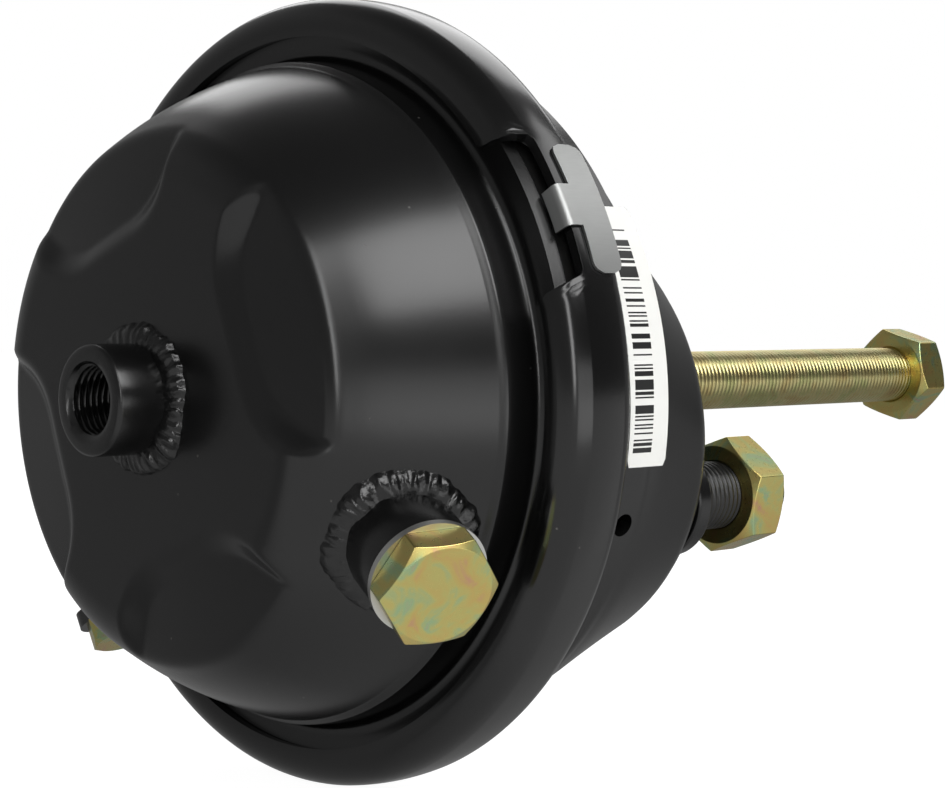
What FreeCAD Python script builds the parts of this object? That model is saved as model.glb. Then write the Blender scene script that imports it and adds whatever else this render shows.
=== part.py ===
import FreeCAD, Part
import math
import os

import PartDesign
import Sketcher
from FreeCAD import Placement, Rotation, Vector

# Single-diaphragm air brake chamber with a long pushrod stroke.
# Lengths are millimetres. +X is the way the pushrod moves out and +Z is up.
# The origin is the middle of the two mounting studs, on the plane where the
# bracket seats. Most pieces are drawn about the clamp's middle plane, where
# x = 0, and are then set back from the seat by the distance between the two.

os.makedirs("parts", exist_ok=True)
doc = FreeCAD.newDocument("AirBrakeChamber")

SIZES = [
    # name, value, what it is
    ("index_angle", 24, "turn of the studs and the side port about the axis"),
    ("seat_gap", 0.05, "gap between pieces that seat on each other"),
    ("rubber_gap", 0.1, "gap between the diaphragm's rim bead and the flanges"),
    ("moving_gap", 0.3, "gap between the diaphragm and what it pushes"),
    # flanges that meet in the clamp
    ("flange_width", 5.2, "how far the flanges stand out from the housing's round part"),
    ("flange_length", 9, "radial length of the pressure housing's flange"),
    ("root_depth", 5.2, "clamp plane to the root of a flange"),
    ("root_fillet", 2, "fillet at the root of a flange"),
    ("rim_depth", 7.4, "clamp plane to the rim of a flange"),
    # pressure housing
    ("cap_depth", 51.3, "clamp plane to the closed end of the pressure housing"),
    ("cap_wall", 3, "sheet thickness of the pressure housing"),
    ("cap_corner_radius", 54.2, "radius where the end and the dome would meet"),
    ("cap_shoulder", 13, "round-over between the end and the dome"),
    ("dome_shift", 2.3, "midway along the dome to the middle of its curve"),
    ("dome_bulge", 4, "how far the middle of the dome's curve stands out"),
    ("dome_curve", 100, "radius of the dome's gentle curve"),
    ("step_depth", 15.5, "clamp plane to the start of the step"),
    ("step_length", 1.5, "length of the step along the axis"),
    ("step_height", 1.25, "radial height of the step"),
    ("neck_taper", 0.9, "how much the neck widens towards the flange"),
    # pressed relief in the end of the pressure housing
    ("relief_depth", 2.2, "depth of the four pressed recesses at their inner edge"),
    ("relief_slope", 0.133, "how steeply a recess falls away towards the dome"),
    ("relief_inner", 36.5, "axis to the inner edge of a recess"),
    ("relief_outer", 64, "axis to beyond the outer end of a recess"),
    ("relief_inner_half", 17, "half the width of a recess at its inner edge"),
    ("relief_outer_half", 47, "half the width of a recess at its outer end"),
    ("relief_corner", 8, "corner radius of a recess"),
    # air ports
    ("boss_radius", 11.9, "outside of both port bosses"),
    ("boss_height", 13.3, "end of the pressure housing to the supply port's face"),
    ("boss_edge", 0.8, "chamfer round the face of a port boss"),
    ("thread_bore", 7.25, "bore radius of the M16 x 1.5 port thread"),
    ("thread_depth", 13, "depth of the port thread"),
    ("air_passage", 4.5, "radius of the passage behind the port thread"),
    ("weld_radius", 2.6, "radius of the weld bead round a port boss"),
    ("side_turn", -1, "turn of the side port from the line of the studs"),
    ("side_height", 11.3, "middle of the dome's curve to the side port's face"),
    ("side_shift", 2.7, "middle of the dome's curve back to the side port's face"),
    ("side_tilt", 16, "lean of the side port away from square to the axis"),
    ("side_boss_root", 11, "how far the side port's boss runs in below the dome"),
    ("side_weld_radius", 3.1, "radius of the weld bead round the side port"),
    # plug in the side port
    ("plug_flats", 22, "across the flats of the plug"),
    ("plug_head", 6.5, "height of the plug's head"),
    ("plug_clear", 2, "end of the plug to the end of the port thread"),
    ("plug_fit", 0.05, "radial gap of the plug in its thread"),
    ("washer_outer", 12.4, "outside radius of the sealing washer"),
    ("washer_clear", 0.95, "radial gap from the port thread to the sealing washer"),
    ("washer_thickness", 1.5, "thickness of the sealing washer"),
    # clamp
    ("clamp_angle", 61, "turn of the clamp about the axis"),
    ("clamp_sheet", 2.5, "sheet thickness of the clamp band"),
    ("clamp_room", 2.8, "rim of the flanges to the inside of the clamp's crown"),
    ("clamp_side", 9.2, "crown to the lips of the clamp band"),
    ("clamp_over_rim", 1.1, "rim of a flange to the clamp's inside, at the crown"),
    ("clamp_flare", 1.4, "how much the clamp band narrows from crown to lip"),
    ("clamp_corner", 5, "outside corner radius of the clamp band"),
    ("clamp_split", 15, "gap between the ends of the clamp band"),
    ("notch_span", 27, "angle over which the front lip is cut away"),
    ("notch_edge", 4, "clamp plane to the front edge of the strap left there"),
    # clamp lugs, bolt and nut
    ("lug_sheet", 4, "thickness of a clamp lug"),
    ("lug_width", 18, "width of a clamp lug along the axis"),
    ("lug_height", 22, "height of a clamp lug above the band"),
    ("lug_foot", 17, "length of a lug's foot along the band"),
    ("lug_corner", 6, "corner radius of a clamp lug"),
    ("bolt_height", 12, "band to the clamp bolt's axis"),
    ("bolt_radius", 4.95, "radius of the M10 clamp bolt"),
    ("bolt_clear", 0.35, "radial clearance of the clamp bolt in a lug"),
    ("bolt_flats", 17, "across the flats of the clamp bolt and nut"),
    ("bolt_head", 6.4, "height of the clamp bolt's head"),
    ("bolt_end", 6.9, "length of the clamp bolt beyond its nut"),
    ("bolt_nut_height", 8, "height of the clamp nut"),
    # non-pressure housing
    ("bowl_wall", 3, "sheet thickness of the non-pressure housing"),
    ("bowl_radius", 79, "outside radius of the housing's round part"),
    ("bowl_straight", 25, "clamp plane to the end of the round part"),
    ("bowl_depth", 52, "clamp plane to the flat end of the housing"),
    ("end_lobe_margin", 13.9, "middle of a stud to the tip of its lobe"),
    ("end_lobe_radius", 47.2, "radius of each end lobe"),
    ("rod_hole", 17, "radius of the pushrod hole"),
    ("weep_depth", 20, "clamp plane to the weep holes"),
    ("weep_radius", 2.6, "radius of a weep hole"),
    ("weep_turn", -4, "turn of the weep holes from the line of the studs"),
    # studs
    ("stud_spacing", 120.65, "distance between the two studs"),
    ("stud_radius", 7.9, "outside radius of the M16 x 1.5 stud thread"),
    ("stud_undercut", 0.25, "how much thinner a stud is below the bracket seat"),
    ("stud_play", 0.15, "radial clearance of a stud in its hole"),
    ("stud_clear", 15.8, "seat to the near face of a stud nut"),
    ("stud_end", 6, "length of stud beyond its nut"),
    ("stud_head_radius", 10.5, "radius of a stud's head"),
    ("stud_head_height", 4, "height of a stud's head"),
    ("collar_radius", 13, "outside radius of a stud collar"),
    ("collar_height", 4.5, "flat end of the housing to the bracket seat"),
    ("stud_plate_thickness", 3, "thickness of the plate inside the housing"),
    ("stud_plate_margin", 1.2, "gap from that plate's edge to the housing"),
    # hexagon nuts, M16 x 1.5
    ("nut_flats", 24, "across the flats of the stud and rod nuts"),
    ("nut_height", 11, "height of the stud and rod nuts"),
    ("nut_bore", 7.55, "bore radius of the stud and rod nuts"),
    # diaphragm
    ("rubber_wall", 2.6, "thickness of the diaphragm"),
    ("rubber_top_gap", 3.3, "deepest back of the relief's inner edge to the diaphragm"),
    ("rubber_corner_inset", 0.6, "how far the diaphragm's corner lies inside the cap's"),
    ("rubber_corner", 11, "round-over of the diaphragm's top"),
    ("rubber_bulge", 2.4, "how far the middle of the side's curve stands out"),
    ("rubber_curve", 70, "radius of the side's gentle curve"),
    ("rubber_neck_rise", 2, "step of the cap to the diaphragm's neck"),
    ("rubber_side_gap", 0.45, "gap between the diaphragm's neck and the cap"),
    ("rubber_root_gap", 1.4, "gap between the diaphragm and the root of the flange"),
    ("rubber_root_fillet", 3.5, "fillet where the side turns to the web"),
    ("bead_inset", 1, "inner edge of the rim bead out from the root of the flange"),
    ("bead_margin", 1, "rim of the flanges to the outer edge of the rim bead"),
    # pushrod and its plate
    ("plate_wall", 3, "thickness of the push plate"),
    ("plate_radius", 46, "outside radius of the push plate"),
    ("plate_lip", 7.5, "depth of the push plate's turned edge"),
    ("plate_corner", 5, "outside corner radius of the push plate"),
    ("rod_radius", 7.9, "outside radius of the M16 x 1.5 pushrod thread"),
    ("rod_clear", 159.8, "seat to the near face of the rod nut"),
    ("rod_end", 0.7, "length of rod beyond its nut"),
    ("rod_nut_turn", 17, "turn of the rod nut about the rod"),
    ("rod_chamfer", 1, "chamfer at the end of the rod and the studs"),
    ("rod_weld", 5, "leg of the weld between rod and plate"),
    # return spring
    ("wire_radius", 2.25, "radius of the return spring's wire"),
    ("spring_small", 24, "coil radius at the push plate"),
    ("spring_large", 36, "coil radius at the housing"),
    ("spring_turns", 5, "number of turns of the return spring"),
    # name tag
    ("tag_sheet", 0.8, "thickness of the name tag"),
    ("tag_front", 1.5, "clamp plane to the tag's front edge"),
    ("tag_width", 10, "width of the tag along the axis"),
    ("tag_span", 21, "angle that the tag covers"),
    ("tag_turn", 1.5, "turn of the tag's middle from the notch's middle"),
    ("tab_span", 6.5, "angle that the tag's folded tab covers"),
    ("tab_drop", 5, "how far the tab folds down over the strap"),
]

sheet = doc.addObject("Spreadsheet::Sheet", "Sizes")
for row, (alias, value, meaning) in enumerate(SIZES, start=1):
    sheet.set(f"A{row}", alias)
    sheet.set(f"B{row}", str(value))
    sheet.setAlias(f"B{row}", alias)
    sheet.set(f"C{row}", meaning)
doc.recompute()


class Size:
    """A length with the sheet expression that gives it, so both stay in step."""

    def __init__(self, value, text):
        self.value = value
        self.text = text

    def join(self, other, sign, swapped=False):
        a, b = self, other if isinstance(other, Size) else Size(float(other), repr(other))
        if swapped:
            a, b = b, a
        results = {"+": a.value + b.value, "-": a.value - b.value, "*": a.value * b.value}
        value = a.value / b.value if sign == "/" else results[sign]
        return Size(value, f"({a.text} {sign} {b.text})")

    def __add__(self, other):
        return self.join(other, "+")

    def __radd__(self, other):
        return self.join(other, "+", True)

    def __sub__(self, other):
        return self.join(other, "-")

    def __rsub__(self, other):
        return self.join(other, "-", True)

    def __mul__(self, other):
        return self.join(other, "*")

    def __rmul__(self, other):
        return self.join(other, "*", True)

    def __truediv__(self, other):
        return self.join(other, "/")

    def __neg__(self):
        return Size(-self.value, f"(-{self.text})")


class Sizes:
    """Gives each named size of the sheet as an attribute."""

    def __getattr__(self, alias):
        return Size(float(sheet.get(alias)), f"Sizes.{alias}")


S = Sizes()
AXIS = Vector(1, 0, 0)
ROOT_3 = math.sqrt(3)

# Lengths that follow from the sizes of what a piece seats on or passes through

SEAT_TO_CLAMP = S.bowl_depth + S.collar_height
RIM_RADIUS = S.bowl_radius + S.flange_width
ROOT_RADIUS = RIM_RADIUS - S.flange_length
NECK_RADIUS = ROOT_RADIUS - S.neck_taper
STEP_RADIUS = NECK_RADIUS - S.step_height
FLANGE_SLOPE = (S.rim_depth - S.root_depth) / S.flange_length
KNEE_DEPTH = (S.cap_depth + S.step_depth) / 2 - S.dome_shift
KNEE_RADIUS = (S.cap_corner_radius + STEP_RADIUS) / 2 + S.dome_bulge
CROWN_RADIUS = RIM_RADIUS + S.clamp_room + S.clamp_sheet
LIP_RADIUS = CROWN_RADIUS - S.clamp_side
CROWN_HALF = S.rim_depth + S.clamp_over_rim + S.clamp_sheet
LIP_HALF = CROWN_HALF - S.clamp_flare
LOBE_OFFSET = S.stud_spacing / 2 + S.end_lobe_margin - S.end_lobe_radius
STUD_SHANK = S.stud_radius - S.stud_undercut
STUD_HOLE = S.stud_radius + S.stud_play
MESH_RADIUS = S.nut_bore - S.seat_gap


def number(size):
    return size.value if isinstance(size, Size) else float(size)


def bind(thing, prop, size):
    """Give a property its number and tie it to the sheet."""
    if isinstance(size, Size):
        thing.setExpression(prop, size.text)
    else:
        setattr(thing, prop, size)


def place(thing, x=None, turn=None, y=None, z=None):
    """Set a piece along the chamber's axis and turn it about that axis."""
    thing.Placement = Placement(Vector(0, 0, 0), Rotation(AXIS, number(turn or 0)))
    for axis, size in (("x", x), ("y", y), ("z", z)):
        if size is not None:
            thing.setExpression(f".Placement.Base.{axis}", size.text)
    if isinstance(turn, Size):
        thing.setExpression(".Placement.Rotation.Angle", turn.text)
    return thing


# Sketches

def constrain_point(sketch, geometry, end, x, y):
    """Hold one point of a sketch at (x, y)."""
    for kind, size, axis in (("DistanceX", x, -2), ("DistanceY", y, -1)):
        if number(size) == 0:
            sketch.addConstraint(Sketcher.Constraint("PointOnObject", geometry, end, axis))
            continue
        constraint = Sketcher.Constraint(kind, -1, 1, geometry, end, number(size))
        index = sketch.addConstraint(constraint)
        if isinstance(size, Size):
            sketch.setExpression(f"Constraints[{index}]", size.text)


def constrain_radius(sketch, geometry, size):
    constraint = Sketcher.Constraint("Radius", geometry, number(size))
    index = sketch.addConstraint(constraint)
    if isinstance(size, Size):
        sketch.setExpression(f"Constraints[{index}]", size.text)


def corner_arc(before, corner, after, radius):
    """Tangent arc of a rounded corner, with the points where it starts and ends."""
    inward = (before - corner).normalize()
    outward = (after - corner).normalize()
    half = inward.getAngle(outward) / 2
    reach = radius / math.tan(half)
    start = corner + inward * reach
    end = corner + outward * reach
    centre = corner + (inward + outward).normalize() * (radius / math.sin(half))
    left_turn = (corner - before).cross(after - corner).z > 0
    first, last = (start, end) if left_turn else (end, start)
    angle = [math.atan2((p - centre).y, (p - centre).x) for p in (first, last)]
    if angle[1] < angle[0]:
        angle[1] += 2 * math.pi
    circle = Part.Circle(centre, Vector(0, 0, 1), radius)
    return start, end, Part.ArcOfCircle(circle, angle[0], angle[1]), left_turn


def draw_outline(sketch, corners, closed=True):
    """Draw straight runs through corners (x, y) or rounded corners (x, y, radius)."""
    points = [Vector(number(c[0]), number(c[1]), 0) for c in corners]
    count = len(points)
    starts, ends, arcs = list(points), list(points), [None] * count
    for i, corner in enumerate(corners):
        if len(corner) < 3:
            continue
        start, end, arc, left = corner_arc(points[i - 1], points[i], points[(i + 1) % count],
                                           number(corner[2]))
        starts[i], ends[i] = start, end
        arcs[i] = (sketch.addGeometry(arc, False), left)
    runs = []
    for i in range(count if closed else count - 1):
        line = Part.LineSegment(ends[i], starts[(i + 1) % count])
        runs.append(sketch.addGeometry(line, False))
    for i, corner in enumerate(corners):
        is_end = not closed and i in (0, count - 1)
        after = runs[i] if i < len(runs) else None
        before = runs[i - 1] if (closed or i > 0) else None
        if arcs[i]:
            arc, left = arcs[i]
            near, far = (1, 2) if left else (2, 1)
            sketch.addConstraint(Sketcher.Constraint("Tangent", before, 2, arc, near))
            sketch.addConstraint(Sketcher.Constraint("Tangent", arc, far, after, 1))
            constrain_radius(sketch, arc, corner[2])
            apex = sketch.addGeometry(Part.Point(points[i]), True)
            sketch.addConstraint(Sketcher.Constraint("PointOnObject", apex, 1, before))
            sketch.addConstraint(Sketcher.Constraint("PointOnObject", apex, 1, after))
            constrain_point(sketch, apex, 1, corner[0], corner[1])
        elif is_end:
            run, end = (after, 1) if i == 0 else (before, 2)
            constrain_point(sketch, run, end, corner[0], corner[1])
        else:
            sketch.addConstraint(Sketcher.Constraint("Coincident", before, 2, after, 1))
            constrain_point(sketch, after, 1, corner[0], corner[1])


def draw_circle(sketch, radius, x=0, y=0):
    circle = Part.Circle(Vector(number(x), number(y), 0), Vector(0, 0, 1), number(radius))
    index = sketch.addGeometry(circle, False)
    constrain_radius(sketch, index, radius)
    constrain_point(sketch, index, 3, x, y)


def draw_hexagon(sketch, flats):
    """Regular hexagon about the origin, with two flats upright."""
    radius = flats / ROOT_3
    around = Part.Circle(Vector(0, 0, 0), Vector(0, 0, 1), radius.value)
    guide = sketch.addGeometry(around, True)
    constrain_radius(sketch, guide, radius)
    constrain_point(sketch, guide, 3, 0, 0)
    tips = []
    for i in range(6):
        angle = math.radians(30 + 60 * i)
        tips.append(Vector(math.cos(angle), math.sin(angle), 0) * radius.value)
    sides = [sketch.addGeometry(Part.LineSegment(tips[i], tips[(i + 1) % 6]), False)
             for i in range(6)]
    for i, side in enumerate(sides):
        sketch.addConstraint(Sketcher.Constraint("Coincident", side, 2, sides[(i + 1) % 6], 1))
        sketch.addConstraint(Sketcher.Constraint("PointOnObject", side, 1, guide))
        if i:
            sketch.addConstraint(Sketcher.Constraint("Equal", sides[0], side))
    sketch.addConstraint(Sketcher.Constraint("Vertical", sides[5]))


def draw_lobes(sketch, offset, radius):
    """Two half circles whose centres lie offset from the axis, joined by straight sides."""
    c, r = number(offset), number(radius)
    up = Vector(0, 0, 1)
    right = Part.ArcOfCircle(Part.Circle(Vector(c, 0, 0), up, r), -math.pi / 2, math.pi / 2)
    left = Part.ArcOfCircle(Part.Circle(Vector(-c, 0, 0), up, r), math.pi / 2, 3 * math.pi / 2)
    right = sketch.addGeometry(right, False)
    top = sketch.addGeometry(Part.LineSegment(Vector(c, r, 0), Vector(-c, r, 0)), False)
    left = sketch.addGeometry(left, False)
    bottom = sketch.addGeometry(Part.LineSegment(Vector(-c, -r, 0), Vector(c, -r, 0)), False)
    for first, end, second, start in ((right, 2, top, 1), (top, 2, left, 1),
                                      (left, 2, bottom, 1), (bottom, 2, right, 1)):
        sketch.addConstraint(Sketcher.Constraint("Tangent", first, end, second, start))
    constrain_point(sketch, right, 3, offset, 0)
    constrain_point(sketch, left, 3, -offset, 0)
    constrain_radius(sketch, right, radius)


def draw_split_circle(sketch, radius):
    """A circle in four arcs, whose joints match the lobes' joints in a loft."""
    r = number(radius)
    joints = [-60, 60, 120, 240, 300]
    circle = Part.Circle(Vector(0, 0, 0), Vector(0, 0, 1), r)
    arcs = [sketch.addGeometry(Part.ArcOfCircle(circle, math.radians(a), math.radians(b)), False)
            for a, b in zip(joints, joints[1:])]
    for i, arc in enumerate(arcs):
        sketch.addConstraint(Sketcher.Constraint("Coincident", arc, 2, arcs[(i + 1) % 4], 1))
        sketch.addConstraint(Sketcher.Constraint("PointOnObject", arc, 3, -1))
        if i < 3:
            sketch.addConstraint(Sketcher.Constraint("PointOnObject", arc, 3, -2))
    constrain_radius(sketch, arcs[0], radius)
    half_chord = radius * (ROOT_3 / 2)
    for arc, side in zip(arcs, (-1, 1, 1, -1)):
        index = sketch.addConstraint(
            Sketcher.Constraint("DistanceY", -1, 1, arc, 1, side * half_chord.value))
        sketch.setExpression(f"Constraints[{index}]", (side * half_chord).text)


PLANES = {"XY": Rotation(0, 0, 0), "XZ": Rotation(Vector(1, 0, 0), 90),
          "YZ": Rotation(Vector(1, 1, 1), 120)}


def free_sketch(name, plane="XZ"):
    """A sketch of its own, outside any body."""
    sketch = doc.addObject("Sketcher::SketchObject", name)
    sketch.Placement = Placement(Vector(0, 0, 0), PLANES[plane])
    return sketch


def new_body(name):
    body = doc.addObject("PartDesign::Body", name)
    body.Label = name
    return body


def body_sketch(body, plane, name, offset=None):
    """A sketch on one of the body's own origin planes, set off along its normal."""
    sketch = body.newObject("Sketcher::SketchObject", name)
    planes = body.Origin.OriginFeatures
    sketch.AttachmentSupport = [next(p for p in planes if p.Role == f"{plane}_Plane"), ""]
    sketch.MapMode = "FlatFace"
    if offset is not None:
        sketch.setExpression(".AttachmentOffset.Base.z", offset.text)
    return sketch


def pad(body, sketch, length, reverse=False, midplane=False):
    feature = body.newObject("PartDesign::Pad", f"{sketch.Name}_pad")
    feature.Profile = sketch
    bind(feature, "Length", length)
    feature.Reversed = reverse
    feature.Midplane = midplane
    body.Tip = feature
    return feature


def pocket(body, sketch, length=None, reverse=False):
    """Cut a sketch into the body, or right through it where no length is given."""
    feature = body.newObject("PartDesign::Pocket", f"{sketch.Name}_pocket")
    feature.Profile = sketch
    feature.Reversed = reverse
    if length is None:
        feature.Type = "ThroughAll"
    else:
        bind(feature, "Length", length)
    body.Tip = feature
    return feature


def turned(body, kind, sketch, angle=360):
    """Revolution or Groove about the chamber's axis."""
    feature = body.newObject(f"PartDesign::{kind}", f"{sketch.Name}_{kind.lower()}")
    feature.Profile = sketch
    feature.ReferenceAxis = (sketch, ["H_Axis"])
    feature.Angle = angle
    body.Tip = feature
    return feature


def around_axis(body, feature, count):
    """Repeat a feature evenly about the chamber's axis."""
    pattern = body.newObject("PartDesign::PolarPattern", f"{feature.Name}_around")
    pattern.Originals = [feature]
    x_axis = next(a for a in body.Origin.OriginFeatures if a.Role == "X_Axis")
    pattern.Axis = (x_axis, [""])
    pattern.Angle = 360
    pattern.Occurrences = count
    body.Tip = pattern
    return pattern


def turned_solid(name, corners):
    """A body made by turning one closed outline about the chamber's axis."""
    body = new_body(name)
    sketch = body_sketch(body, "XZ", f"{name}_outline")
    draw_outline(sketch, corners)
    turned(body, "Revolution", sketch)
    return body


def pressed_sheet(name, corners, thickness):
    """Sheet of even thickness turned about the axis.

    The corners follow its outer side, with the metal on the right of the way they run.
    """
    sketch = free_sketch(f"{name}_line")
    draw_outline(sketch, corners, closed=False)
    strip = doc.addObject("Part::Offset2D", f"{name}_strip")
    strip.Source = sketch
    strip.Mode = "Skin"
    strip.Fill = True
    strip.Value = thickness.value
    sketch.recompute()
    strip.recompute()
    first, second = [Vector(number(c[0]), 0, number(c[1])) for c in corners[:2]]
    run = (second - first).normalize()
    in_metal = (first + run + Vector(run.z, 0, -run.x) * (thickness.value / 2))
    is_right_side = strip.Shape.distToShape(Part.Vertex(in_metal))[0] < 0.01
    strip.setExpression("Value", thickness.text if is_right_side else f"-{thickness.text}")
    solid = doc.addObject("Part::Revolution", f"{name}_sheet")
    solid.Source = strip
    solid.Axis = AXIS
    solid.Angle = 360
    solid.Solid = True
    return solid


def boolean(kind, name, base, tool):
    """Part::Cut or Part::Common of two objects."""
    result = doc.addObject(f"Part::{kind}", name)
    result.Base = base
    result.Tool = tool
    return result


def fuse(name, shapes):
    result = doc.addObject("Part::MultiFuse", name)
    result.Shapes = shapes
    return result


def rod_tool(name, radius, length, x, turn=None):
    """A plain cylinder along the axis, used to cut or to trim."""
    tool = doc.addObject("Part::Cylinder", name)
    bind(tool, "Radius", radius)
    bind(tool, "Height", length)
    tool.Placement = Placement(Vector(0, 0, 0), Rotation(Vector(0, 1, 0), 90))
    tool.setExpression(".Placement.Base.x", x.text)
    return tool


NODES = []


def finish(node, piece):
    """Name a finished piece: the label is the node's and the file's name."""
    piece.Label = node
    NODES.append((node, piece))
    return piece


# Hexagon pieces are drawn along +X from x = 0

def chamfer_tips(body, name, flats, height, both):
    """Turn the corners off a hexagon, at 30 degrees, on one face or both."""
    inner = flats * 0.48
    outer = flats * 0.62
    rise = (outer - inner) * (1 / ROOT_3)
    sketch = body_sketch(body, "XZ", f"{name}_far_tips")
    draw_outline(sketch, [(height, inner), (height, outer), (height - rise, outer)])
    turned(body, "Groove", sketch)
    if both:
        sketch = body_sketch(body, "XZ", f"{name}_near_tips")
        draw_outline(sketch, [(0, inner), (rise, outer), (0, outer)])
        turned(body, "Groove", sketch)


def hex_nut(name, flats, height, bore):
    body = new_body(name)
    sketch = body_sketch(body, "YZ", f"{name}_hexagon")
    draw_hexagon(sketch, flats)
    draw_circle(sketch, bore)
    pad(body, sketch, height)
    chamfer_tips(body, name, flats, height, both=True)
    return body


def hex_bolt(name, flats, head, shank_radius, shank_length, chamfer):
    """The head lies on the +X side of x = 0 and the shank on the other."""
    body = new_body(name)
    sketch = body_sketch(body, "YZ", f"{name}_hexagon")
    draw_hexagon(sketch, flats)
    pad(body, sketch, head)
    chamfer_tips(body, name, flats, head, both=False)
    sketch = body_sketch(body, "XZ", f"{name}_shank")
    draw_outline(sketch, [(0, 0), (0, shank_radius), (chamfer - shank_length, shank_radius),
                          (-shank_length, shank_radius - chamfer), (-shank_length, 0)])
    turned(body, "Revolution", sketch)
    return body


# Pressure housing: a deep-drawn cap whose end carries a raised cross between
# four pressed recesses, a gently curved dome, a step, a neck and the flange

BETWEEN_ARMS = 45
CAP_DOME = [
    (-S.cap_depth, 0),
    (-S.cap_depth, S.cap_corner_radius, S.cap_shoulder),
    (-KNEE_DEPTH, KNEE_RADIUS, S.dome_curve),
    (-S.step_depth, STEP_RADIUS),
]


def floor_depth(radius):
    """Where the floor of a recess lies at a radius: it falls away towards the dome."""
    return S.relief_depth - S.cap_depth + (radius - S.relief_inner) * S.relief_slope


def relief_blocks(name, front, behind, spread):
    """Four wedge-shaped blocks between the arms of the cross.

    They run from front to a cone that lies the given way behind a recess's floor.
    """
    body = new_body(f"{name}_blocks")
    sketch = body_sketch(body, "YZ", f"{name}_plan", front)
    inner = S.relief_inner - spread
    near = S.relief_inner_half + spread
    far = S.relief_outer_half + spread
    draw_outline(sketch, [
        (-near, inner, S.relief_corner),
        (near, inner, S.relief_corner),
        (far, S.relief_outer),
        (-far, S.relief_outer),
    ])
    block = pad(body, sketch, S.cap_depth)
    around_axis(body, block, 4)
    body.Placement = Placement(Vector(0, 0, 0), Rotation(AXIS, BETWEEN_ARMS))
    beyond = S.relief_outer * 2
    cone = turned_solid(f"{name}_cone", [
        (front, 0), (floor_depth(0) + behind, 0),
        (floor_depth(beyond) + behind, beyond), (front, beyond),
    ])
    return boolean("Common", name, body, cone)


cap_line = CAP_DOME + [
    (S.step_length - S.step_depth, NECK_RADIUS),
    (-S.root_depth, ROOT_RADIUS, S.root_fillet),
    (-S.rim_depth, RIM_RADIUS),
]
cap_sheet = pressed_sheet("cap", cap_line, S.cap_wall)
cap_dome = turned_solid("cap_dome", CAP_DOME + [(-S.step_depth, 0)])
backs = relief_blocks("relief_backs", S.cap_wall / 2 - S.cap_depth, S.cap_wall, S.cap_wall)
backs = boolean("Common", "relief_backs_inside", backs, cap_dome)
cap_shell = fuse("cap_with_backs", [cap_sheet, backs])
no_spread = S.cap_wall - S.cap_wall
dents = relief_blocks("relief_fronts", -S.cap_depth - S.cap_wall, no_spread, no_spread)
cap_shell = boolean("Cut", "cap_with_relief", cap_shell, dents)
cap_void = boolean("Cut", "cap_void", cap_dome, fuse("cap_solid_metal", [cap_sheet, backs]))


def on_side_axis(thing):
    """Lay a piece drawn along +X on the side port's axis, from the port's face."""
    lean = S.side_tilt + 90
    thing.Placement = Placement(Vector(0, 0, 0), Rotation(Vector(0, 0, -1), lean.value))
    thing.setExpression(".Placement.Base.x", (-KNEE_DEPTH - S.side_shift).text)
    thing.setExpression(".Placement.Base.y", (-KNEE_RADIUS - S.side_height).text)
    thing.setExpression(".Placement.Rotation.Angle", lean.text)
    return thing



port_hole = S.boss_radius + S.seat_gap
side_boss_length = S.side_height + S.side_boss_root
side_port_angle = S.index_angle - S.side_turn
centre_hole = rod_tool("supply_hole", port_hole, S.cap_depth, -S.cap_depth - 1)
side_hole = turned_solid("side_hole", [(-side_boss_length, 0), (0, 0), (0, port_hole),
                                       (-side_boss_length, port_hole)])
on_side_axis(side_hole)
side_hole_turned = doc.addObject("Part::Compound", "side_hole_turned")
side_hole_turned.Links = [side_hole]
place(side_hole_turned, None, -S.side_turn)
cap_shell = boolean("Cut", "cap_with_supply_hole", cap_shell, centre_hole)
cap_shell = boolean("Cut", "cap_with_both_holes", cap_shell, side_hole_turned)
finish("pressure_housing", place(cap_shell, -SEAT_TO_CLAMP, S.index_angle))

# Supply port: a threaded boss through the middle of the end, welded round

port_face = -S.cap_depth - S.boss_height
supply_boss = turned_solid("supply_boss", [
    (port_face, S.thread_bore),
    (port_face, S.boss_radius - S.boss_edge),
    (port_face + S.boss_edge, S.boss_radius),
    (S.cap_wall - S.cap_depth, S.boss_radius),
    (S.cap_wall - S.cap_depth, S.air_passage),
    (port_face + S.thread_depth, S.air_passage),
    (port_face + S.thread_depth, S.thread_bore),
])
finish("supply_port_boss", place(supply_boss, -SEAT_TO_CLAMP, S.index_angle))

weld_foot = -S.cap_depth - S.seat_gap
supply_weld = turned_solid("supply_weld", [
    (weld_foot, port_hole),
    (weld_foot, port_hole + S.weld_radius),
    (weld_foot - S.weld_radius * 0.8, port_hole + S.weld_radius * 0.8, S.weld_radius * 0.6),
    (weld_foot - S.weld_radius, port_hole),
])
finish("supply_port_weld", place(supply_weld, -SEAT_TO_CLAMP, S.index_angle))

# Side port: the same boss, leaning towards the closed end and trimmed flush inside

side_boss = turned_solid("side_boss", [
    (0, S.thread_bore),
    (0, S.boss_radius - S.boss_edge),
    (-S.boss_edge, S.boss_radius),
    (-side_boss_length, S.boss_radius),
    (-side_boss_length, S.air_passage),
    (-S.thread_depth, S.air_passage),
    (-S.thread_depth, S.thread_bore),
])
on_side_axis(side_boss)
side_boss = boolean("Cut", "side_boss_trimmed", side_boss, cap_void)
finish("side_port_boss", place(side_boss, -SEAT_TO_CLAMP, side_port_angle))

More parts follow.
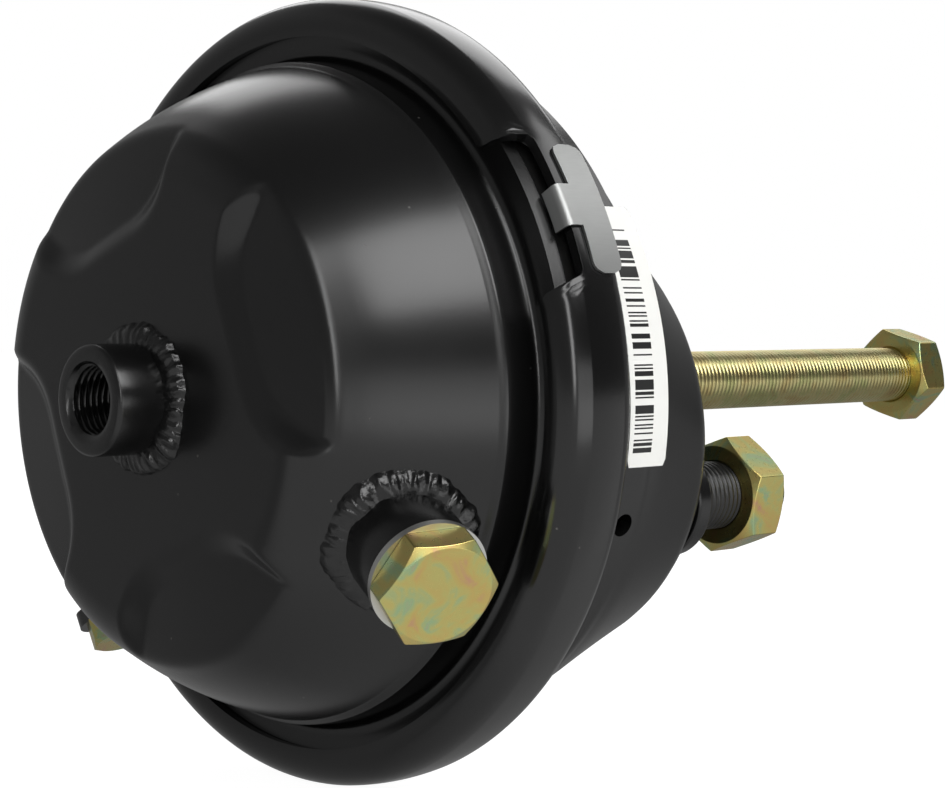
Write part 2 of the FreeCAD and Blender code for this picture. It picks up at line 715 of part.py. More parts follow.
side_weld_depth = Size(
    S.side_height.value / math.cos(math.radians(S.side_tilt.value)),
    f"({S.side_height.text} / cos({S.side_tilt.text}))",
)
bead = doc.addObject("Part::Torus", "side_bead")
bind(bead, "Radius1", S.boss_radius)
bind(bead, "Radius2", S.side_weld_radius)
bead.Placement = Placement(Vector(0, 0, 0), Rotation(Vector(0, 1, 0), 90))
bead.setExpression(".Placement.Base.x", (-side_weld_depth).text)
bead_whole = doc.addObject("Part::Compound", "side_bead_whole")
bead_whole.Links = [bead]
on_side_axis(bead_whole)
cap_outside = turned_solid("cap_outside", cap_line[:-2] + [
    (-S.root_depth, ROOT_RADIUS), (-S.root_depth, 0),
])
dome_clear = doc.addObject("Part::Compound", "cap_dome_clear")
dome_clear.Links = [cap_outside]
dome_clear.setExpression(".Placement.Base.x", (-S.seat_gap).text)
side_weld = boolean("Cut", "side_bead_off_boss", bead_whole, side_hole)
side_weld = boolean("Cut", "side_bead_off_dome", side_weld, dome_clear)
finish("side_port_weld", place(side_weld, -SEAT_TO_CLAMP, side_port_angle))

# Plug and washer that close the side port

plug = hex_bolt("plug", S.plug_flats, S.plug_head, S.thread_bore - S.plug_fit,
                S.thread_depth - S.plug_clear, S.rod_chamfer)
washer_inner = S.thread_bore + S.washer_clear
washer = turned_solid("washer", [
    (S.seat_gap, washer_inner), (S.seat_gap, S.washer_outer),
    (S.seat_gap + S.washer_thickness, S.washer_outer),
    (S.seat_gap + S.washer_thickness, washer_inner),
])


def side_port_piece(name, piece, along=None):
    """Carry a piece to the side port, then to its place on the chamber."""
    if along is not None:
        piece.setExpression(".Placement.Base.x", along.text)
    carried = doc.addObject("Part::Compound", f"{name}_on_port")
    carried.Links = [piece]
    on_side_axis(carried)
    whole = doc.addObject("Part::Compound", f"{name}_whole")
    whole.Links = [carried]
    return finish(name, place(whole, -SEAT_TO_CLAMP, side_port_angle))


side_port_piece("side_port_plug", plug, S.washer_thickness + S.seat_gap * 2)
side_port_piece("side_port_washer", washer)

# Clamp band: a channel of sheet that draws both flanges together, drawn with its
# notch at the top and its split at the bottom

band = pressed_sheet("clamp", [
    (-LIP_HALF, LIP_RADIUS),
    (-CROWN_HALF, CROWN_RADIUS, S.clamp_corner),
    (CROWN_HALF, CROWN_RADIUS, S.clamp_corner),
    (LIP_HALF, LIP_RADIUS),
], S.clamp_sheet)
notch = new_body("clamp_notch")
notch_outline = body_sketch(notch, "XZ", "notch_outline")
draw_outline(notch_outline, [
    (-CROWN_HALF * 1.2, LIP_RADIUS * 0.9), (-S.notch_edge, LIP_RADIUS * 0.9),
    (-S.notch_edge, CROWN_RADIUS * 1.1), (-CROWN_HALF * 1.2, CROWN_RADIUS * 1.1),
])
notch_turn = turned(notch, "Revolution", notch_outline)
notch_turn.Midplane = True
notch_turn.setExpression("Angle", S.notch_span.text)
split = new_body("clamp_split_block")
split_plan = body_sketch(split, "YZ", "split_plan")
half_split = S.clamp_split / 2
draw_outline(split_plan, [
    (-half_split, -CROWN_RADIUS * 1.1), (half_split, -CROWN_RADIUS * 1.1),
    (half_split, -LIP_RADIUS * 0.8), (-half_split, -LIP_RADIUS * 0.8),
])
pad(split, split_plan, CROWN_HALF * 4, midplane=True)
band = boolean("Cut", "clamp_with_notch", band, notch)
band = boolean("Cut", "clamp_with_split", band, split)
finish("clamp_band", place(band, -SEAT_TO_CLAMP, S.clamp_angle))

# Lugs stand up at both ends of the band: a foot on the band and a drilled upright

lug = new_body("lug")
lug_side = body_sketch(lug, "YZ", "lug_side")
crown = CROWN_RADIUS
lug_top = crown + S.lug_height
outer_face = half_split + S.lug_sheet
foot_end = half_split + S.lug_foot
draw_outline(lug_side, [
    (half_split, -crown * 0.93), (half_split, -lug_top), (outer_face, -lug_top),
    (outer_face, -crown - S.lug_sheet * 0.7), (foot_end, -crown + S.lug_sheet * 0.2),
    (foot_end, -crown * 0.93),
])
pad(lug, lug_side, S.lug_width, midplane=True)
lug_front = body_sketch(lug, "XZ", "lug_front")
half_lug = S.lug_width / 2
draw_outline(lug_front, [
    (-half_lug - 1, -lug_top - 1), (half_lug + 1, -lug_top - 1),
    (half_lug + 1, -lug_top + S.lug_corner * 2), (half_lug, -lug_top + S.lug_corner * 2),
    (half_lug, -lug_top, S.lug_corner), (-half_lug, -lug_top, S.lug_corner),
    (-half_lug, -lug_top + S.lug_corner * 2), (-half_lug - 1, -lug_top + S.lug_corner * 2),
])
trim = pocket(lug, lug_front)
trim.Midplane = True
lug_drill = body_sketch(lug, "XZ", "lug_drill")
draw_circle(lug_drill, S.bolt_radius + S.bolt_clear, 0, -crown - S.bolt_height)
drill = pocket(lug, lug_drill)
drill.Midplane = True
band_clear = rod_tool("band_clear", crown + S.seat_gap, S.lug_width * 2, -S.lug_width)
right_lug = boolean("Cut", "lug_right", lug, band_clear)
left_lug = doc.addObject("Part::Mirroring", "lug_left")
left_lug.Source = right_lug
left_lug.Normal = Vector(0, 1, 0)
lugs = doc.addObject("Part::Compound", "both_lugs")
lugs.Links = [right_lug, left_lug]
finish("clamp_lugs", place(lugs, -SEAT_TO_CLAMP, S.clamp_angle))

# Clamp bolt and nut, drawn along +X and turned to lie across the split, with a flat
# of the hexagon towards the band

FLAT_DOWN = 30


def across_split(name, piece, side, along):
    """side is -1 or +1: which lug the piece bears on, looking along the axis."""
    piece.Placement = Placement(Vector(0, 0, 0), Rotation(AXIS, FLAT_DOWN))
    carried = doc.addObject("Part::Compound", f"{name}_across")
    carried.Links = [piece]
    carried.Placement = Placement(Vector(0, 0, 0), Rotation(Vector(0, 0, 1), 90 * side))
    carried.setExpression(".Placement.Base.y", (along * side).text)
    carried.setExpression(".Placement.Base.z", (-crown - S.bolt_height).text)
    whole = doc.addObject("Part::Compound", f"{name}_whole")
    whole.Links = [carried]
    return finish(name, place(whole, -SEAT_TO_CLAMP, S.clamp_angle))


bolt_length = (outer_face + S.seat_gap) * 2 + S.bolt_nut_height + S.bolt_end
bolt = hex_bolt("bolt", S.bolt_flats, S.bolt_head, S.bolt_radius, bolt_length, S.boss_edge)
across_split("clamp_bolt", bolt, -1, outer_face + S.seat_gap)
bolt_nut = hex_nut("bolt_nut", S.bolt_flats, S.bolt_nut_height,
                   S.bolt_radius + S.seat_gap)
across_split("clamp_nut", bolt_nut, 1, outer_face + S.seat_gap)

# Diaphragm: a rubber cup whose thick rim is clamped between the flanges

web = S.rubber_wall / 2
rubber_top_depth = S.cap_depth - S.relief_depth - S.cap_wall - S.rubber_top_gap
rubber_corner_radius = S.cap_corner_radius - S.rubber_corner_inset
rubber_neck_depth = S.step_depth - S.rubber_neck_rise
rubber_neck_radius = STEP_RADIUS - S.cap_wall - S.rubber_side_gap
bead_inner = ROOT_RADIUS + S.bead_inset
bead_outer = RIM_RADIUS - S.bead_margin
rubber_cup = pressed_sheet("rubber", [
    (-rubber_top_depth, 0),
    (-rubber_top_depth, rubber_corner_radius, S.rubber_corner),
    (-(rubber_top_depth + rubber_neck_depth) / 2,
     (rubber_corner_radius + rubber_neck_radius) / 2 + S.rubber_bulge, S.rubber_curve),
    (-rubber_neck_depth, rubber_neck_radius),
    (-web, ROOT_RADIUS - S.cap_wall - S.rubber_root_gap, S.rubber_root_fillet),
    (-web, (bead_inner + bead_outer) / 2),
], S.rubber_wall)
slant = Size(math.hypot(1, FLANGE_SLOPE.value), f"sqrt(1 + {FLANGE_SLOPE.text} ^ 2)")


def bead_face(radius, wall):
    """Clamp plane to the rim bead's face, which follows the inside of a flange."""
    inside = S.rim_depth - (RIM_RADIUS - radius) * FLANGE_SLOPE - wall * slant
    return inside - S.rubber_gap


rubber_bead = turned_solid("rubber_bead", [
    (-bead_face(bead_inner, S.cap_wall), bead_inner),
    (-bead_face(bead_outer, S.cap_wall), bead_outer),
    (bead_face(bead_outer, S.bowl_wall), bead_outer),
    (bead_face(bead_inner, S.bowl_wall), bead_inner),
])
rubber = fuse("rubber_whole", [rubber_cup, rubber_bead])
finish("diaphragm", place(rubber, -SEAT_TO_CLAMP, S.index_angle))

# Non-pressure housing: round at its flange, drawn out to two lobes that carry the
# studs at the flat end

bowl_root = S.rim_depth - S.flange_width * FLANGE_SLOPE
bowl_ring = pressed_sheet("bowl", [
    (S.rim_depth, RIM_RADIUS),
    (bowl_root, S.bowl_radius, S.root_fillet),
    (S.bowl_straight, S.bowl_radius),
], S.bowl_wall)


def drawn_end(name, start, end, inset):
    """Solid that runs from the round part to the two-lobed end."""
    body = new_body(name)
    round_part = body_sketch(body, "YZ", f"{name}_round", start)
    draw_split_circle(round_part, S.bowl_radius - inset)
    lobes = body_sketch(body, "YZ", f"{name}_lobes", end)
    draw_lobes(lobes, LOBE_OFFSET, S.end_lobe_radius - inset)
    loft = body.newObject("PartDesign::AdditiveLoft", f"{name}_loft")
    loft.Profile = round_part
    loft.Sections = [lobes]
    loft.Ruled = True
    body.Tip = loft
    return body


no_inset = S.bowl_wall - S.bowl_wall
end_outside = drawn_end("end_outside", S.bowl_straight, S.bowl_depth, no_inset)
end_inside = drawn_end("end_inside", S.bowl_straight, S.bowl_depth - S.bowl_wall, S.bowl_wall)
bowl = boolean("Cut", "drawn_end_wall", end_outside, end_inside)
bowl = fuse("bowl_whole", [bowl_ring, bowl])
bowl_drill = new_body("bowl_drill")
end_plan = body_sketch(bowl_drill, "YZ", "end_plan")
draw_circle(end_plan, S.rod_hole)
pad(bowl_drill, end_plan, S.bowl_depth * 2)
bowl = boolean("Cut", "bowl_with_rod_hole", bowl, bowl_drill)
stud_drill = new_body("stud_drill")
stud_plan = body_sketch(stud_drill, "YZ", "stud_plan")
draw_circle(stud_plan, STUD_HOLE, S.stud_spacing / 2, 0)
stud_bore = pad(stud_drill, stud_plan, S.bowl_depth * 2)
second_drill = doc.addObject("Part::Mirroring", "stud_drill_mirrored")
second_drill.Source = stud_drill
second_drill.Normal = Vector(0, 1, 0)
stud_holes = doc.addObject("Part::Compound", "stud_holes")
stud_holes.Links = [stud_drill, second_drill]
bowl = boolean("Cut", "bowl_with_stud_holes", bowl, stud_holes)
weep_drills = []
for turn in (0, 90):
    weep = doc.addObject("Part::Cylinder", f"weep_drill_{turn}")
    bind(weep, "Radius", S.weep_radius)
    bind(weep, "Height", S.bowl_radius * 3)
    weep.Placement = Placement(Vector(0, 0, 0), Rotation(AXIS, turn + S.weep_turn.value))
    weep.setExpression(".Placement.Base.x", S.weep_depth.text)
    turned_angle = math.radians(turn + S.weep_turn.value)
    half_length = (S.bowl_radius * 1.5).value
    weep.Placement.Base = Vector(S.weep_depth.value, math.sin(turned_angle) * half_length,
                                 -math.cos(turned_angle) * half_length)
    weep_drills.append(weep)
weep_holes = doc.addObject("Part::Compound", "weep_holes")
weep_holes.Links = weep_drills
bowl = boolean("Cut", "bowl_with_weep_holes", bowl, weep_holes)
finish("non_pressure_housing", place(bowl, -SEAT_TO_CLAMP, S.index_angle))

# Stud plate inside the flat end, under the heads of the studs

stiffener = new_body("stiffener")
stiffener_plan = body_sketch(stiffener, "YZ", "stiffener_plan")
draw_lobes(stiffener_plan, LOBE_OFFSET, S.end_lobe_radius - S.bowl_wall - S.stud_plate_margin)
draw_circle(stiffener_plan, S.rod_hole)
draw_circle(stiffener_plan, STUD_HOLE, S.stud_spacing / 2, 0)
draw_circle(stiffener_plan, STUD_HOLE, -S.stud_spacing / 2, 0)
pad(stiffener, stiffener_plan, S.stud_plate_thickness)
plate_back = S.bowl_depth - S.bowl_wall - S.seat_gap
place(stiffener, plate_back - S.stud_plate_thickness - SEAT_TO_CLAMP, S.index_angle)
finish("stud_plate", stiffener)

# Studs, collars and nuts. Each stud is drawn from the bracket seat at x = 0

head_top = plate_back - S.stud_plate_thickness - S.seat_gap - SEAT_TO_CLAMP
stud_tip = S.stud_clear + S.nut_height + S.stud_end
stud = turned_solid("stud", [
    (head_top - S.stud_head_height, 0),
    (head_top - S.stud_head_height, S.stud_head_radius),
    (head_top, S.stud_head_radius),
    (head_top, STUD_SHANK),
    (0, STUD_SHANK),
    (0, S.stud_radius),
    (S.stud_clear * 0.98, S.stud_radius),
    (S.stud_clear * 0.98, MESH_RADIUS),
    (stud_tip - S.rod_chamfer, MESH_RADIUS),
    (stud_tip, MESH_RADIUS - S.rod_chamfer),
    (stud_tip, 0),
])
collar = turned_solid("collar", [
    (S.bowl_depth + S.seat_gap - SEAT_TO_CLAMP, STUD_HOLE),
    (S.bowl_depth + S.seat_gap - SEAT_TO_CLAMP, S.collar_radius, S.boss_edge),
    (0, S.collar_radius, S.boss_edge),
    (0, STUD_HOLE),
])
stud_nut = hex_nut("stud_nut", S.nut_flats, S.nut_height, S.nut_bore)
stud_nut.setExpression(".Placement.Base.x", S.stud_clear.text)


def on_both_studs(name, piece):
    """The same piece at each stud, as one node of two solids."""
    places = []
    for side in (-1, 1):
        spot = doc.addObject("Part::Compound", f"{name}_{'near' if side < 0 else 'far'}")
        spot.Links = [piece]
        spot.setExpression(".Placement.Base.y", (S.stud_spacing * (side / 2)).text)
        places.append(spot)
    pair = doc.addObject("Part::Compound", f"{name}_pair")
    pair.Links = places
    return finish(name, place(pair, None, S.index_angle))


on_both_studs("mounting_studs", stud)
on_both_studs("stud_collars", collar)
on_both_studs("stud_nuts", stud_nut)

# Pushrod, its plate, the weld between them and the nut at its end

plate_front = -rubber_top_depth + S.rubber_wall + S.moving_gap
push_plate = pressed_sheet("push", [
    (plate_front, 0),
    (plate_front, S.plate_radius, S.plate_corner),
    (plate_front + S.plate_lip, S.plate_radius),
], S.plate_wall)
finish("push_plate", place(push_plate, -SEAT_TO_CLAMP, S.index_angle))

rod_foot = plate_front + S.plate_wall + S.seat_gap - SEAT_TO_CLAMP
rod_tip = S.rod_clear + S.nut_height + S.rod_end
rod = turned_solid("rod", [
    (rod_foot, 0),
    (rod_foot, S.rod_radius),
    (S.rod_clear - S.moving_gap, S.rod_radius),
    (S.rod_clear - S.moving_gap, MESH_RADIUS),
    (rod_tip - S.rod_chamfer, MESH_RADIUS),
    (rod_tip, MESH_RADIUS - S.rod_chamfer),
    (rod_tip, 0),
])
finish("pushrod", rod)

rod_weld_inner = S.rod_radius + S.seat_gap
rod_weld = turned_solid("rod_weld_ring", [
    (rod_foot, rod_weld_inner),
    (rod_foot + S.rod_weld, rod_weld_inner),
    (rod_foot + S.rod_weld * 0.7, rod_weld_inner + S.rod_weld * 0.7, S.rod_weld * 0.5),
    (rod_foot, rod_weld_inner + S.rod_weld),
])
finish("pushrod_weld", rod_weld)

rod_nut = hex_nut("end_nut", S.nut_flats, S.nut_height, S.nut_bore)
finish("rod_nut", place(rod_nut, S.rod_clear, S.rod_nut_turn))

# Return spring: conical, so that its coils nest when the rod is out

spring_start = plate_front + S.plate_wall + S.wire_radius + S.seat_gap
spring_length = plate_back - S.stud_plate_thickness - S.wire_radius - S.seat_gap - spring_start
helix = doc.addObject("Part::Helix", "spring_line")
bind(helix, "Height", spring_length)
bind(helix, "Pitch", spring_length / S.spring_turns)
bind(helix, "Radius", S.spring_small)
helix.SegmentLength = 0.5
helix.setExpression("Angle", f"atan(({S.spring_large.text} - {S.spring_small.text})"
                             f" / {spring_length.text})")
wire = doc.addObject("Part::Circle", "spring_wire")
bind(wire, "Radius", S.wire_radius)
wire.Placement = Placement(Vector(0, 0, 0), Rotation(Vector(1, 0, 0), 90))
wire.setExpression(".Placement.Base.x", S.spring_small.text)
coil = doc.addObject("Part::Sweep", "spring_coil")
coil.Sections = [wire]
helix.recompute()
coil.Spine = (helix, [f"Edge{i + 1}" for i in range(len(helix.Shape.Edges))])
coil.Solid = True
coil.Frenet = True
spring = doc.addObject("Part::Compound", "spring_on_axis")
spring.Links = [coil]
spring.Placement = Placement(Vector(0, 0, 0), Rotation(Vector(0, 1, 0), 90))
spring.setExpression(".Placement.Base.x", (spring_start - SEAT_TO_CLAMP).text)
finish("return_spring", spring)

# Name tag: a blank plate bent over the crown, with a tab folded down in the notch

tag_line = CROWN_RADIUS + S.seat_gap
tag_top = tag_line + S.tag_sheet
tag_plate = turned_solid("tag_plate", [
    (S.tag_front, tag_line), (S.tag_front, tag_top),
    (S.tag_front + S.tag_width, tag_top), (S.tag_front + S.tag_width, tag_line),
])
tab_edge = -S.notch_edge - S.seat_gap
tag_tab = turned_solid("tag_tab", [
    (S.tag_front * 1.5, tag_line), (S.tag_front * 1.5, tag_top),
    (tab_edge - S.tag_sheet, tag_top, S.tag_sheet * 1.2), (tab_edge - S.tag_sheet, tag_top - S.tab_drop),
    (tab_edge, tag_top - S.tab_drop), (tab_edge, tag_line),
])
for piece, span in ((tag_plate, S.tag_span), (tag_tab, S.tab_span)):
    piece.Tip.Midplane = True
    piece.Tip.setExpression("Angle", span.text)
tag = fuse("tag_whole", [tag_plate, tag_tab])
finish("name_tag", place(tag, -SEAT_TO_CLAMP, S.clamp_angle + S.tag_turn))

doc.recompute()

troubles = []
for thing in doc.Objects:
    if "Invalid" in thing.State or "Error" in thing.State:
        troubles.append(f"{thing.Name} {thing.State}")
for node, piece in NODES:
    if piece.Shape.isNull() or not piece.Shape.isValid() or not piece.Shape.Solids:
        troubles.append(f"{node} has no valid solid")
if troubles:
    raise RuntimeError("; ".join(troubles))
for node, piece in NODES:
    piece.Shape.exportStep(f"parts/{node}.step")
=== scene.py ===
import math
from bisect import bisect_right

import bmesh
import bpy
from mathutils import Matrix, Vector, noise


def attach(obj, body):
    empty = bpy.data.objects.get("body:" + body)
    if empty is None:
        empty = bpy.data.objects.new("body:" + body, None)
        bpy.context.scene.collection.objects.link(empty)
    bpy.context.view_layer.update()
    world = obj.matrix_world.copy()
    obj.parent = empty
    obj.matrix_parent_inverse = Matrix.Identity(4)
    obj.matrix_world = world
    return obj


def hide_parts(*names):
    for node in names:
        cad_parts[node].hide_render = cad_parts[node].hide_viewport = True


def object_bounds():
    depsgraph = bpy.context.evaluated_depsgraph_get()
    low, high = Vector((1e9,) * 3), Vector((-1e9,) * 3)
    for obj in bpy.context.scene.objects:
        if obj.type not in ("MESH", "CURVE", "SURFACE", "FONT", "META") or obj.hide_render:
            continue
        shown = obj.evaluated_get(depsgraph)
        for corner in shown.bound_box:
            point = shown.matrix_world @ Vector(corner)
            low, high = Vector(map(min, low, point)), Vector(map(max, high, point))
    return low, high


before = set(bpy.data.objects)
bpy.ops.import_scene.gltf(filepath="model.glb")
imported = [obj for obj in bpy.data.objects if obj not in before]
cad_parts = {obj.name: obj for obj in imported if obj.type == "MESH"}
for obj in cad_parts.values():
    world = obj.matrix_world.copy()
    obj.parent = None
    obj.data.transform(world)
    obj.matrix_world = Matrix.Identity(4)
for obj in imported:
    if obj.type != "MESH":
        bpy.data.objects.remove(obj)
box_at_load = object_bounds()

# Single-diaphragm air brake chamber. Pieces are described in millimetres about the
# chamber's axis: x runs from the clamp's middle plane towards the pushrod's end, r is
# the radius, and an angle is counted in degrees from the frame's -Y side upwards.

MM = 0.001
SEAT_TO_CLAMP = 56.5
STUD_TURN, STUD_CENTRE_R = -24, 60.325
CLAMP_TURN = 29
PORT_X, PORT_R, PORT_LEAN, PORT_TURN = -33.8, 78.9, 16, -25


def spot(x, r, angle):
    """A point in the frame, in metres, from x, radius and angle about the axis."""
    a = math.radians(angle)
    return Vector((x - SEAT_TO_CLAMP, -r * math.cos(a), r * math.sin(a))) * MM


def smooth(t):
    """Ease from 0 to 1, level at both ends and held outside them."""
    t = min(1, max(0, t))
    return t * t * (3 - 2 * t)


def soft_max(a, b, width):
    """The larger of two lengths, with the crease between them rounded over width."""
    gap = max(0, 1 - abs(a - b) / width)
    return max(a, b) + gap * gap * width / 4


def hex_colour(code):
    """Linear colour of an sRGB hex value."""
    parts = [int(code[i:i + 2], 16) / 255 for i in (1, 3, 5)]
    return [p / 12.92 if p <= 0.04045 else ((p + 0.055) / 1.055) ** 2.4 for p in parts] + [1]


# Materials

def add_node(tree, kind, settings=None, links=None):
    """Add a node, set its properties and inputs, and link its inputs to other outputs."""
    node = tree.nodes.new(kind)
    for key, value in (settings or {}).items():
        if isinstance(key, int) or key in node.inputs:
            node.inputs[key].default_value = value
        else:
            setattr(node, key, value)
    for key, source in (links or {}).items():
        tree.links.new(source, node.inputs[key])
    return node


def new_material(name, shader_settings):
    """A material with one Principled shader, set on its own sockets."""
    material = bpy.data.materials.new(name)
    material.use_nodes = True
    tree = material.node_tree
    shader = tree.nodes["Principled BSDF"]
    for key, value in shader_settings.items():
        shader.inputs[key].default_value = value
    return material, tree, shader


def pattern_size(mm):
    """Noise scale, in cycles a metre, for features about this many millimetres across."""
    return 1000 / mm


def ramp(tree, source, stops):
    """Colour ramp from (position, colour) stops."""
    node = add_node(tree, "ShaderNodeValToRGB", links={"Fac": source})
    elements = node.color_ramp.elements
    while len(elements) < len(stops):
        elements.new(0.5)
    for element, (position, colour) in zip(elements, stops):
        element.position = position
        element.color = colour if isinstance(colour, (list, tuple)) else [colour] * 3 + [1]
    return node.outputs["Color"]


def black_enamel(name, peel_mm, peel_depth, roughness):
    """Semi-gloss black enamel sprayed and baked on pressed steel: a faint orange peel
    softens reflections, and settled dust and handling marks break up the gloss."""
    material, tree, shader = new_material(name, {"IOR": 1.5})
    place = add_node(tree, "ShaderNodeTexCoord").outputs["Object"]
    peel = add_node(tree, "ShaderNodeTexNoise",
                    {"Scale": pattern_size(peel_mm), "Detail": 2.0}, {"Vector": place})
    cloud = add_node(tree, "ShaderNodeTexNoise",
                     {"Scale": pattern_size(38), "Detail": 4.0}, {"Vector": place})
    specks = add_node(tree, "ShaderNodeTexVoronoi",
                      {"Scale": pattern_size(9), "Randomness": 1.0}, {"Vector": place})
    speck = ramp(tree, specks.outputs["Distance"], [(0.0, 1.0), (0.035, 0.0)])
    gloss = add_node(tree, "ShaderNodeMapRange",
                     {"To Min": roughness - 0.045, "To Max": roughness + 0.06},
                     {"Value": cloud.outputs["Fac"]})
    dusty = add_node(tree, "ShaderNodeMath", {"operation": "MULTIPLY_ADD", 1: 0.3},
                     {0: speck, 2: gloss.outputs["Result"]})
    colour = add_node(tree, "ShaderNodeMix",
                      {"data_type": "RGBA", 6: hex_colour("#0a0a0a"), 7: hex_colour("#5a5955")},
                      {0: speck})
    bump = add_node(tree, "ShaderNodeBump", {"Strength": 0.5, "Distance": peel_depth * MM},
                    {"Height": peel.outputs["Fac"]})
    tree.links.new(colour.outputs[2], shader.inputs["Base Color"])
    tree.links.new(dusty.outputs[0], shader.inputs["Roughness"])
    tree.links.new(bump.outputs["Normal"], shader.inputs["Normal"])
    return material


def yellow_zinc(name, film_colours):
    """Zinc plate with a yellow passivation film: the film's thickness drifts over each
    face, so gold shades into pink and green, over fine tool marks."""
    material, tree, shader = new_material(name, {"Metallic": 1.0})
    place = add_node(tree, "ShaderNodeTexCoord").outputs["Object"]
    film = add_node(tree, "ShaderNodeTexNoise",
                    {"Scale": pattern_size(9), "Detail": 3.0, "Roughness": 0.6,
                     "Distortion": 0.8}, {"Vector": place})
    grain = add_node(tree, "ShaderNodeTexNoise",
                     {"Scale": pattern_size(0.7), "Detail": 2.0}, {"Vector": place})
    positions = (0.22, 0.40, 0.52, 0.63, 0.78)
    tint = ramp(tree, film.outputs["Fac"],
                [(at, hex_colour(code)) for at, code in zip(positions, film_colours)])
    rough = add_node(tree, "ShaderNodeMapRange", {"To Min": 0.24, "To Max": 0.34},
                     {"Value": grain.outputs["Fac"]})
    bump = add_node(tree, "ShaderNodeBump", {"Strength": 0.1, "Distance": 0.015 * MM},
                    {"Height": grain.outputs["Fac"]})
    tree.links.new(tint, shader.inputs["Base Color"])
    tree.links.new(rough.outputs["Result"], shader.inputs["Roughness"])
    tree.links.new(bump.outputs["Normal"], shader.inputs["Normal"])
    return material


def bare_sheet(name, colour, roughness, grain_mm):
    """Rolled aluminium sheet: faint rolling lines stretch its reflections one way."""
    material, tree, shader = new_material(name, {
        "Metallic": 1.0, "Base Color": hex_colour(colour),
    })
    place = add_node(tree, "ShaderNodeTexCoord").outputs["Object"]
    stretched = add_node(tree, "ShaderNodeMapping", {"Scale": (0.08, 1.0, 1.0)},
                         {"Vector": place})
    lines = add_node(tree, "ShaderNodeTexNoise",
                     {"Scale": pattern_size(grain_mm), "Detail": 3.0},
                     {"Vector": stretched.outputs["Vector"]})
    rough = add_node(tree, "ShaderNodeMapRange",
                     {"To Min": roughness - 0.08, "To Max": roughness + 0.1},
                     {"Value": lines.outputs["Fac"]})
    bump = add_node(tree, "ShaderNodeBump", {"Strength": 0.3, "Distance": 0.02 * MM},
                    {"Height": lines.outputs["Fac"]})
    tree.links.new(rough.outputs["Result"], shader.inputs["Roughness"])
    tree.links.new(bump.outputs["Normal"], shader.inputs["Normal"])
    return material


def dull_coat(name, low, high, mottle_mm, roughness, bump_mm):
    """A matt dark skin, such as moulded rubber, oiled phosphate or baked spring paint: two
    close tones and a fine tooth keep it from looking like plain plastic."""
    material, tree, shader = new_material(name, {"IOR": 1.5})
    place = add_node(tree, "ShaderNodeTexCoord").outputs["Object"]
    mottle = add_node(tree, "ShaderNodeTexNoise",
                      {"Scale": pattern_size(mottle_mm), "Detail": 4.0}, {"Vector": place})
    tone = ramp(tree, mottle.outputs["Fac"], [(0.3, hex_colour(low)), (0.7, hex_colour(high))])
    rough = add_node(tree, "ShaderNodeMapRange",
                     {"To Min": roughness - 0.06, "To Max": roughness + 0.08},
                     {"Value": mottle.outputs["Fac"]})
    bump = add_node(tree, "ShaderNodeBump", {"Strength": 0.3, "Distance": bump_mm * MM},
                    {"Height": mottle.outputs["Fac"]})
    tree.links.new(tone, shader.inputs["Base Color"])
    tree.links.new(rough.outputs["Result"], shader.inputs["Roughness"])
    tree.links.new(bump.outputs["Normal"], shader.inputs["Normal"])
    return material


BARS_X, BARS_TURN, NARROWEST_BAR = (18.6, 24.4), (-8.4, 27), 0.36
LABEL_RADIUS = 79


def striped_label(name):
    """White self-adhesive label printed in black with a stack of plain bars, unevenly
    wide, that read as nothing; paper and print share one faint gloss."""
    material, tree, shader = new_material(name, {"IOR": 1.5, "Roughness": 0.42})
    place = add_node(tree, "ShaderNodeTexCoord").outputs["Object"]
    parts = add_node(tree, "ShaderNodeSeparateXYZ", {}, {0: place})
    down = add_node(tree, "ShaderNodeMath", {"operation": "MULTIPLY", 1: -1.0},
                    {0: parts.outputs["Y"]})
    angle = add_node(tree, "ShaderNodeMath", {"operation": "ARCTAN2"},
                     {0: parts.outputs["Z"], 1: down.outputs[0]})
    steps = add_node(tree, "ShaderNodeMath",
                     {"operation": "MULTIPLY", 1: LABEL_RADIUS / NARROWEST_BAR},
                     {0: angle.outputs[0]})
    whole = add_node(tree, "ShaderNodeMath", {"operation": "FLOOR"}, {0: steps.outputs[0]})
    chance = add_node(tree, "ShaderNodeTexWhiteNoise", {"noise_dimensions": "1D"},
                      {"W": whole.outputs[0]})
    bar = add_node(tree, "ShaderNodeMath", {"operation": "GREATER_THAN", 1: 0.46},
                   {0: chance.outputs["Value"]})
    mask = bar.outputs[0]
    along, turn = parts.outputs["X"], angle.outputs[0]
    edges = [(along, (x - SEAT_TO_CLAMP) * MM) for x in BARS_X]
    edges += [(turn, math.radians(degrees)) for degrees in BARS_TURN]
    for (source, limit), kind in zip(edges, ("GREATER_THAN", "LESS_THAN") * 2):
        inside = add_node(tree, "ShaderNodeMath", {"operation": kind, 1: limit}, {0: source})
        mask = add_node(tree, "ShaderNodeMath", {"operation": "MULTIPLY"},
                        {0: mask, 1: inside.outputs[0]}).outputs[0]
    print_colour = add_node(tree, "ShaderNodeMix",
                            {"data_type": "RGBA", 6: hex_colour("#dcdcd8"),
                             7: hex_colour("#161616")}, {0: mask})
    tree.links.new(print_colour.outputs[2], shader.inputs["Base Color"])
    return material


